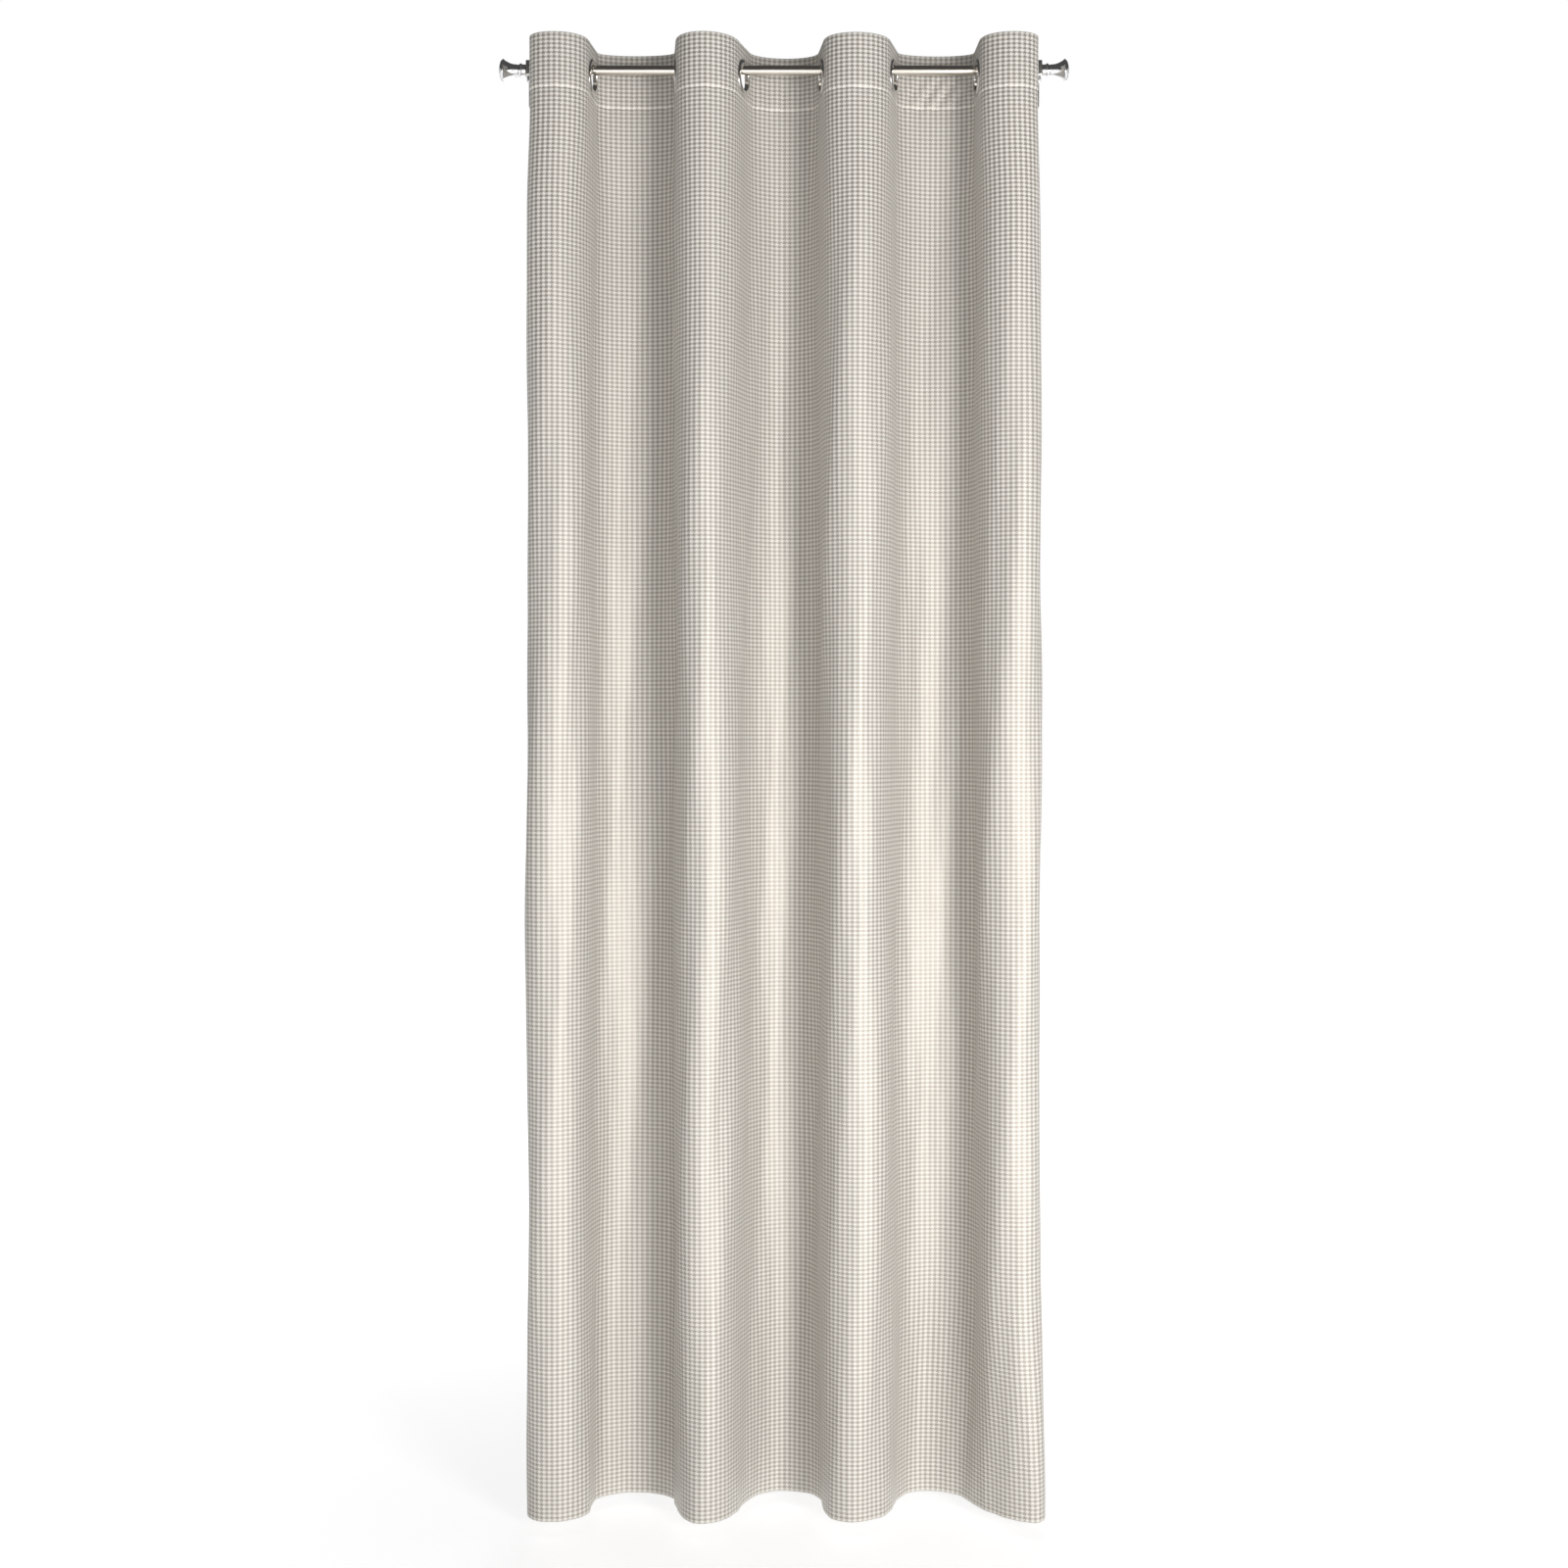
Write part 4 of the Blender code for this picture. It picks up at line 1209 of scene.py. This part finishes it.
@dataclass
class Eyelets:
    """Front and back rings, clinched on both sides of the cloth."""

    folds: Folds
    hole_radius: float = 20.5 * MM
    barrel_wall: float = 1.5 * MM
    front_seat: float = 0.8 * MM
    front_height: float = 2.8 * MM
    back_seat: float = 2.8 * MM
    back_height: float = 1.9 * MM
    back_inset: float = 0.7 * MM
    turns: int = 96

    def front_profile(self) -> Profile:
        """The domed flange with its barrel, which is flared over the back ring."""
        hole, edge = self.hole_radius, self.folds.flange_radius
        seat = self.front_seat
        top = seat + self.front_height
        barrel = hole + self.barrel_wall
        end = -(self.back_seat + self.back_height - 0.4 * MM)
        dome = []
        for k in range(13):
            t = k / 12
            radius = hole + 0.25 * MM + (edge - hole - 0.45 * MM) * t
            dome.append((radius, top - 0.75 * MM * (1 - t) ** 5 - 2.0 * MM * t**4.5))
        return [
            (hole, top - 1.3 * MM), *dome, (edge, seat + 0.45 * MM), (edge - 0.15 * MM, seat),
            (barrel, seat), (barrel, end + 0.3 * MM), (barrel - 0.3 * MM, end),
            (hole + 0.3 * MM, end), (hole, end + 0.4 * MM),
        ]

    def back_profile(self) -> Profile:
        """The washer behind the facing."""
        inner = self.hole_radius + self.barrel_wall + GAP
        edge = self.folds.flange_radius - self.back_inset
        top = -self.back_seat
        bottom = top - self.back_height
        return [
            (inner, top), (edge - 0.2 * MM, top), (edge, top - 0.2 * MM), (edge, top - 0.8 * MM),
            (edge - 0.5 * MM, top - 1.35 * MM), (edge - 1.3 * MM, bottom + 0.2 * MM),
            (edge - 2.4 * MM, bottom), (inner + 1.5 * MM, bottom), (inner + 0.5 * MM, bottom + 0.1 * MM),
            (inner, bottom + 0.5 * MM),
        ]

    def build(self) -> None:
        """Makes both rings of every eyelet."""
        for i, x in enumerate(self.folds.eyelet_x):
            face = self.folds.facing_of(i)
            matrix = pointing((face.x, face.y, 0), (x, self.folds.axis_y, self.folds.eyelet_z))
            body = f"eyelet_{i + 1}" if i else "rod"
            for part, profile in (("front", self.front_profile()), ("back", self.back_profile())):
                name = f"eyelet_{part}_{i + 1}"
                mesh = turned(name, eased(profile, 0.12 * MM, 2, True), matrix, self.turns, True)
                finished(new_piece(name, mesh, EYELET_CHROME), body, EYELET_CHROME, name)


@dataclass
class Rod:
    """The slim tube that carries the curtain."""

    radius: float = 8 * MM
    wall: float = 1 * MM

    def build(self) -> None:
        """Makes the tube, open at both ends."""
        low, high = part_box("rod_tube")
        inner = self.radius - self.wall
        profile = [(inner, high.x), (self.radius, high.x), (self.radius, low.x), (inner, low.x)]
        place = (0, (low.y + high.y) / 2, (low.z + high.z) / 2)
        mesh = turned("rod_tube", eased(profile, 0.25 * MM, 3, True), pointing((1, 0, 0), place), 72, True)
        finished(new_piece("rod_tube", mesh, ROD_NICKEL), "rod", ROD_NICKEL, "rod_tube")


@dataclass
class Finial:
    """One end knob, with its collared sleeve and set screw."""

    side: Side
    rod_radius: float = 8 * MM
    sleeve_wall: float = 1.4 * MM
    sleeve_length: float = 12 * MM
    end_wall: float = 2 * MM
    collar_rise: float = 1.7 * MM
    collar_width: float = 3.4 * MM
    collar_to_end: float = 3.6 * MM
    length: float = 31.5 * MM
    rim_radius: float = 18.5 * MM
    dome: float = 6 * MM
    stud_radius: float = 5 * MM
    stud_length: float = 9 * MM

    def inner_end(self, node: str) -> tuple[float, float]:
        """The X of a node's end nearest the middle, and the rod axis's Y."""
        low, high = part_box(node)
        return (high.x if self.side is Side.LEFT else low.x), (low.y + high.y) / 2

    def sleeve_profile(self) -> Profile:
        """The socket with its raised collar."""
        bore = self.rod_radius + GAP
        outer = bore + self.sleeve_wall
        end, middle, half = self.sleeve_length, self.sleeve_length - self.collar_to_end, self.collar_width / 2
        hole = self.stud_radius + GAP
        crest = [(outer + self.collar_rise * sin(pi * k / 12) ** 0.6, middle + half * cos(pi * k / 12))
                 for k in range(1, 12)]
        return [
            (hole, end), (outer - 0.5 * MM, end), (outer, end - 0.5 * MM), (outer, middle + half), *crest,
            (outer, middle - half), (outer, 0.5 * MM), (outer - 0.5 * MM, 0), (bore, 0),
            (bore, end - self.end_wall), (hole, end - self.end_wall),
        ]

    def body_profile(self) -> Profile:
        """A domed rim, a trumpet that narrows to the neck, and the stud behind it."""
        neck = self.rod_radius + GAP + self.sleeve_wall
        rim, end = self.rim_radius, self.length
        shoulder = end - self.dome
        dome = [((rim - 1.2 * MM) * cos(a), end - self.dome * (1 - sin(a)))
                for a in (radians(90 - 6 * k) for k in range(1, 15))]
        bead = [(rim - 0.9 * MM + 0.9 * MM * cos(a), shoulder - 0.9 * MM + 0.9 * MM * sin(a))
                for a in (radians(80 - 20 * k) for k in range(9))]
        foot, flare = 1.6 * MM, self.length - self.dome - 2.5 * MM
        trumpet = [(neck + (rim - 1.5 * MM - neck) * (1 - k / 24) ** 2.2, foot + (flare - foot) * (1 - k / 24))
                   for k in range(25)]
        stud = self.stud_radius
        return [
            (0, end), *dome, (rim - 1.1 * MM, shoulder + 0.2 * MM), *bead, *trumpet,
            (neck - 0.5 * MM, 1.3 * MM), (neck - 0.5 * MM, 0.5 * MM), (neck - 0.9 * MM, 0),
            (stud, 0), (stud, 0.5 * MM - self.stud_length), (stud - 0.5 * MM, -self.stud_length),
            (0, -self.stud_length),
        ]

    def set_screw_profile(self) -> Profile:
        """The headless screw with its socket."""
        return [
            (0, 1.2 * MM), (0.75 * MM, 1.2 * MM), (0.75 * MM, 3.2 * MM), (1.3 * MM, 3.2 * MM),
            (1.5 * MM, 3.0 * MM), (1.5 * MM, 0.4 * MM), (1.1 * MM, 0), (0, 0),
        ]

    def build(self) -> None:
        """Makes the knob, the sleeve and the set screw."""
        way, label = (self.side.value, 0, 0), self.side.label
        x, y = self.inner_end(f"finial_sleeve_{label}")
        name = f"finial_sleeve_{label}"
        mesh = turned(name, eased(self.sleeve_profile(), 0.2 * MM, 2, True), pointing(way, (x, y, 0)), 72, True)
        sleeve = new_piece(name, mesh, FINIAL_CHROME)
        self.drill(sleeve, x + self.side.value * 3 * MM, y)
        finished(sleeve, "rod", FINIAL_CHROME, name)
        name = f"finial_{label}"
        x += self.side.value * (self.sleeve_length + GAP)
        mesh = turned(name, eased(self.body_profile(), 0.15 * MM, 2), pointing(way, (x, y, 0)), 72)
        finished(new_piece(name, mesh, FINIAL_CHROME), "rod", FINIAL_CHROME, name)
        name = f"grub_screw_{label}"
        low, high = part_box(name)
        place = ((low.x + high.x) / 2, low.y, (low.z + high.z) / 2)
        mesh = turned(name, eased(self.set_screw_profile(), 0.08 * MM, 2), pointing((0, 1, 0), place), 24)
        finished(new_piece(name, mesh, SCREW_ZINC), "rod", SCREW_ZINC, name)

    def drill(self, sleeve: bpy.types.Object, x: float, y: float) -> None:
        """Cuts the set screw's hole in the back of the sleeve.

        Args:
            sleeve: The sleeve's piece.
            x: The hole's X.
            y: The rod axis's Y.
        """
        radius = 1.5 * MM + GAP
        hole = [(0, 6 * MM), (radius, 6 * MM), (radius, 0), (0, 0)]
        mesh = turned("drill", hole, pointing((0, 1, 0), (x, y + 6.6 * MM, 0)), 24)
        cut(sleeve, [mesh])


def cut(piece: bpy.types.Object, tools: Sequence[bpy.types.Mesh]) -> None:
    """Cuts closed meshes out of a piece and leaves a plain mesh.

    Args:
        piece: The piece to cut.
        tools: The meshes to cut away, which are removed.
    """
    cutters = []
    for mesh in tools:
        cutter = bpy.data.objects.new("cutter", mesh)
        bpy.context.scene.collection.objects.link(cutter)
        boolean = piece.modifiers.new("cut", "BOOLEAN")
        boolean.operation = "DIFFERENCE"
        boolean.solver = "EXACT"
        boolean.object = cutter
        cutters.append(cutter)
    settled(piece)
    for cutter in cutters:
        bpy.data.objects.remove(cutter)
    piece.data.shade_smooth()
    piece.data.set_sharp_from_angle(angle=SMOOTH_ANGLE)


@dataclass
class Bracket:
    """One wall bracket: plate, arm, open cup, thumb screw and two wall screws."""

    side: Side
    knurls: KnurlTree
    bore: float = 8.3 * MM
    edge_round: float = 0.9 * MM
    stub_radius: float = 3 * MM
    arm_radius: float = 4.5 * MM
    screw_radius: float = 2 * MM
    screw_head: float = 4 * MM
    screw_spacing: float = 46 * MM

    def extruded(self, name: str, outline: Sequence[tuple[float, float]], low: float, high: float,
                 axis: Axis, bevel: float) -> bpy.types.Object:
        """A flat outline given thickness, with its edges rounded.

        Args:
            name: The piece's name.
            outline: Its corners, in the other two axes' order.
            low: Where it starts along the axis.
            high: Where it ends.
            axis: The axis that it is pulled along.
            bevel: The width of its rounded edges.

        Returns:
            The piece, as a plain mesh.
        """
        form = bmesh.new()
        ends = []
        for level in (low, high):
            points = [(level, a, b) if axis is Axis.X else (a, level, b) for a, b in outline]
            ends.append([form.verts.new(point) for point in points])
        for end in ends:
            form.faces.new(end)
        for k in range(len(outline)):
            n = (k + 1) % len(outline)
            form.faces.new((ends[0][k], ends[0][n], ends[1][n], ends[1][k]))
        bmesh.ops.recalc_face_normals(form, faces=form.faces)
        piece = new_piece(name, made_mesh(name, form), BRACKET_NICKEL)
        rounding = piece.modifiers.new("edges", "BEVEL")
        rounding.width = bevel
        rounding.segments = 3
        rounding.limit_method = "ANGLE"
        rounding.angle_limit = radians(40)
        settled(piece)
        return piece

    def cup(self) -> None:
        """The open-topped cup that the rod lies in."""
        name = f"rod_cup_{self.side.label}"
        low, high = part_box(name)
        y = (low.y + high.y) / 2
        corner = 3 * MM
        quarter = np.linspace(0, pi / 2, 6)
        outline = [(low.y + corner * (1 - cos(a)), low.z + corner * (1 - sin(a))) for a in quarter]
        outline += [(high.y - corner * (1 - sin(a)), low.z + corner * (1 - cos(a))) for a in quarter]
        outline += [(high.y, high.z), (y + self.bore, high.z)]
        outline += [(y + self.bore * cos(a), -self.bore * sin(a)) for a in np.linspace(0, pi, 25)]
        outline += [(y - self.bore, high.z), (low.y, high.z)]
        piece = self.extruded(name, outline, low.x, high.x, Axis.X, self.edge_round)
        hole = [(0, 6 * MM), (self.screw_radius + GAP, 6 * MM), (self.screw_radius + GAP, 0), (0, 0)]
        x = (low.x + high.x) / 2
        cut(piece, [turned("bore", hole, Matrix.Translation((x, y, low.z - 2 * MM)), 32)])
        finished(piece, "brackets", BRACKET_NICKEL, name)

    def plate(self) -> None:
        """The plate against the wall, with its screw and rivet holes."""
        name = f"wall_plate_{self.side.label}"
        low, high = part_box(name)
        x, z = (low.x + high.x) / 2, (low.z + high.z) / 2
        corner = 3.5 * MM
        outline = []
        for sx, sz, start in ((1, 1, 0), (-1, 1, 90), (-1, -1, 180), (1, -1, 270)):
            centre = (x + sx * ((high.x - low.x) / 2 - corner), z + sz * ((high.z - low.z) / 2 - corner))
            outline += [(centre[0] + corner * cos(a), centre[1] + corner * sin(a))
                        for a in np.radians(np.linspace(start, start + 90, 6))]
        piece = self.extruded(name, outline, low.y, high.y, Axis.Y, 0.7 * MM)
        tools = []
        for height, radius in ((self.screw_spacing / 2, self.screw_radius), (0, self.stub_radius),
                               (-self.screw_spacing / 2, self.screw_radius)):
            hole = [(0, 12 * MM), (radius + GAP, 12 * MM), (radius + GAP, 0), (0, 0)]
            tools.append(turned("hole", hole, pointing((0, 1, 0), (x, low.y - 5 * MM, z + height)), 32))
        cut(piece, tools)
        finished(piece, "brackets", BRACKET_NICKEL, name)

    def arm(self) -> None:
        """The round arm, with a turned foot and the stub that is riveted in the plate."""
        name = f"bracket_arm_{self.side.label}"
        low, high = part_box(name)
        plate_low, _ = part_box(f"wall_plate_{self.side.label}")
        foot = plate_low.y - GAP
        length, stub = foot - low.y, foot - high.y
        radius = self.arm_radius
        profile = [
            (0, length), (radius - 0.5 * MM, length), (radius, length - 0.5 * MM), (radius, 0.4 * MM),
            (radius - 0.4 * MM, 0), (self.stub_radius, 0), (self.stub_radius, stub + 0.3 * MM),
            (self.stub_radius - 0.3 * MM, stub), (0, stub),
        ]
        place = ((low.x + high.x) / 2, foot, (low.z + high.z) / 2)
        mesh = turned(name, eased(profile, 0.2 * MM, 2), pointing((0, -1, 0), place), 48)
        finished(new_piece(name, mesh, BRACKET_NICKEL), "brackets", BRACKET_NICKEL, name)

    def wall_screw(self, level: str) -> None:
        """A pan-head wood screw with a cross recess and a threaded shank.

        Args:
            level: Which of the plate's two screws it is.
        """
        name = f"wall_screw_{self.side.label}_{level}"
        low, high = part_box(name)
        head, shank = self.screw_head, self.screw_radius
        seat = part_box(f"wall_plate_{self.side.label}")[0].y - GAP
        height, tip = seat - low.y, seat - high.y
        thread: Profile = []
        turns_down = 14
        for k in range(turns_down):
            z = -4.5 * MM + (tip * 0.86 + 4.5 * MM) * k / turns_down
            step = (tip * 0.86 + 4.5 * MM) / turns_down
            thread += [(shank, z), (shank, z + step * 0.2), (shank * 0.72, z + step * 0.55)]
        profile = [
            (0, height), *((head * sin(a), height * cos(a) ** 0.8) for a in np.radians(np.linspace(12, 84, 9))),
            (head, 0), (shank, 0), (shank, -4 * MM), *thread, (shank * 0.7, tip * 0.87), (0, tip),
        ]
        place = ((low.x + high.x) / 2, seat, (low.z + high.z) / 2)
        mesh = turned(name, profile, pointing((0, -1, 0), place), 32)
        piece = new_piece(name, mesh, SCREW_ZINC)
        cut(piece, self.cross_recess(place, height))
        finished(piece, "brackets", SCREW_ZINC, name)

    def cross_recess(self, place: Sequence[float], height: float) -> list[bpy.types.Mesh]:
        """Two tapered bars, as cutters for a cross recess.

        Args:
            place: Where the head's seat is.
            height: The head's height.

        Returns:
            The two closed meshes.
        """
        bars = []
        for turn in (0, pi / 2):
            form = bmesh.new()
            bmesh.ops.create_cube(form, size=1)
            for vert in form.verts:
                deep = vert.co.z < 0
                vert.co = Vector((
                    vert.co.x * (1.6 if deep else 4.4) * MM, vert.co.y * 0.75 * MM,
                    height * (0.35 if deep else 1.2),
                ))
            matrix = pointing((0, -1, 0), place) @ Matrix.Rotation(turn, 4, "Z")
            bmesh.ops.transform(form, matrix=matrix, verts=form.verts)
            bars.append(made_mesh("bar", form))
        return bars

    def thumb_screw(self) -> None:
        """The finger screw under the cup, with a knurled head."""
        name = f"thumb_screw_{self.side.label}"
        low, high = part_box(name)
        x, y = (low.x + high.x) / 2, (low.y + high.y) / 2
        head, shank, neck = 4.25 * MM, self.screw_radius, high.z - low.z - 7 * MM
        total = high.z - low.z
        profile = [
            (0, total), (shank - 0.4 * MM, total), (shank, total - 0.4 * MM), (shank, total - neck),
            (head - 0.7 * MM, total - neck), (head, total - neck - 0.7 * MM), (head, 0.7 * MM),
            (head - 0.7 * MM, 0), (1.6 * MM, 0), (1.3 * MM, 0.35 * MM), (0, 0.35 * MM),
        ]
        mesh = turned(name, eased(profile, 0.15 * MM, 2), Matrix.Translation((x, y, low.z)), 48)
        piece = new_piece(name, mesh, SCREW_ZINC)
        self.knurls.run(piece, Material=SCREW_ZINC.material(), Centre=(x, y, low.z + 3.5 * MM), Radius=4.2 * MM,
                        Rib_Width=0.3 * MM, Rib_Height=5.2 * MM)
        finished(piece, "brackets", SCREW_ZINC, name)

    def build(self) -> None:
        """Makes the bracket's pieces."""
        self.plate()
        self.arm()
        self.cup()
        self.thumb_screw()
        for level in ("upper", "lower"):
            self.wall_screw(level)


# ---- Studio ----------------------------------------------------------------------------
@dataclass
class Studio:
    """Floor, soft light and camera."""

    camera_distance: float = 3.2
    camera_height: float = -1.096
    view_width: float = 2.579
    horizon_rise: float = 0.03
    floor_gap: float = 0.02
    sky: float = 0.085

    def build(self, rod_y: float, hem_z: float) -> None:
        """Sets up the studio round the curtain.

        Args:
            rod_y: The rod axis's Y.
            hem_z: The hem's height.
        """
        self.floor(hem_z - self.floor_gap)
        self.light()
        self.world()
        self.camera(rod_y)

    def floor(self, level: float) -> None:
        """A plain pale floor just under the hem."""
        mesh = bpy.data.meshes.new("floor")
        form = bmesh.new()
        bmesh.ops.create_grid(form, x_segments=1, y_segments=1, size=20,
                              matrix=Matrix.Translation((0, 0, level)))
        form.to_mesh(mesh)
        form.free()
        new_piece("floor", mesh, GLOWING_FLOOR)

    def area(self, name: str, place: Sequence[float], aim: Sequence[float], size: tuple[float, float],
             power: float, colour: tuple[float, float, float] = (1, 1, 1)) -> None:
        """One rectangular soft light.

        Args:
            name: Its name.
            place: Where it stands.
            aim: What it is turned to.
            size: Its width and height.
            power: Its power in watts.
            colour: Its colour.
        """
        lamp = bpy.data.lights.new(name, "AREA")
        lamp.shape = "RECTANGLE"
        lamp.size, lamp.size_y = size
        lamp.energy = power
        lamp.color = colour
        item = bpy.data.objects.new(name, lamp)
        bpy.context.scene.collection.objects.link(item)
        item.location = place
        item.rotation_euler = (Vector(aim) - Vector(place)).to_track_quat("-Z", "Y").to_euler()
        item.visible_camera = False

    def light(self) -> None:
        """A soft key from the right, a weak low fill, strip and cards for the metal, and a light behind."""
        self.area("key", (1.75, -3.15, -1.55), (0, -0.1, -1.25), (0.9, 1.7), 95, (1, 0.99, 0.98))
        self.area("fill", (-0.7, -3.4, -2.0), (0, -0.1, -1.5), (1.6, 1.2), 15, (0.98, 0.99, 1))
        self.area("strip", (0, -3.4, -0.15), (0, -0.1, 0), (3.2, 0.3), 4.5)
        for side in Side:
            self.area(f"card_{side.label}", (side.value * 2.2, 1.1, 0.1), (0, 0, 0), (1.2, 1.0), 4)
        self.area("back", (0.6, 3.2, -0.9), (0, 0, -1.15), (2.4, 2.4), 40)

    def world(self) -> None:
        """A plain sky, white to the camera and softer as light."""
        world = bpy.data.worlds.new("studio")
        bpy.context.scene.world = world
        world.use_nodes = True
        tree = Tree(world.node_tree)
        seen = tree.add("ShaderNodeLightPath").outputs["Is Camera Ray"]
        dim = tree.add("ShaderNodeBackground", {"Color": (1, 1, 1, 1), "Strength": self.sky})
        white = tree.add("ShaderNodeBackground", {"Color": (1, 1, 1, 1), "Strength": 1.0})
        both = tree.add("ShaderNodeMixShader", {0: seen, 1: dim.outputs[0], 2: white.outputs[0]})
        tree.add("ShaderNodeOutputWorld", {"Surface": both.outputs[0]})

    def camera(self, rod_y: float) -> None:
        """A level camera in front of the curtain, near the middle of its height."""
        data = bpy.data.cameras.new("camera")
        data.sensor_width = 36
        data.lens = data.sensor_width * self.camera_distance / self.view_width
        data.shift_y = -self.horizon_rise
        item = bpy.data.objects.new("camera", data)
        bpy.context.scene.collection.objects.link(item)
        item.location = (0, rod_y - self.camera_distance, self.camera_height)
        item.rotation_euler = (pi / 2, 0, 0)
        bpy.context.scene.camera = item
        bpy.context.scene.view_settings.view_transform = "Standard"


def main() -> None:
    """Builds every piece around the frame."""
    logging.basicConfig(level=logging.INFO, format="%(message)s", force=True)
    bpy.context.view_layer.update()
    folds = Folds()
    Studio().build(folds.axis_y, folds.hem)
    Rod().build()
    for side in Side:
        Finial(side).build()
    knurls = KnurlTree()
    for side in Side:
        Bracket(side, knurls).build()
    Eyelets(folds).build()
    Curtain(folds).build()


if __name__ == "__main__":
    main()
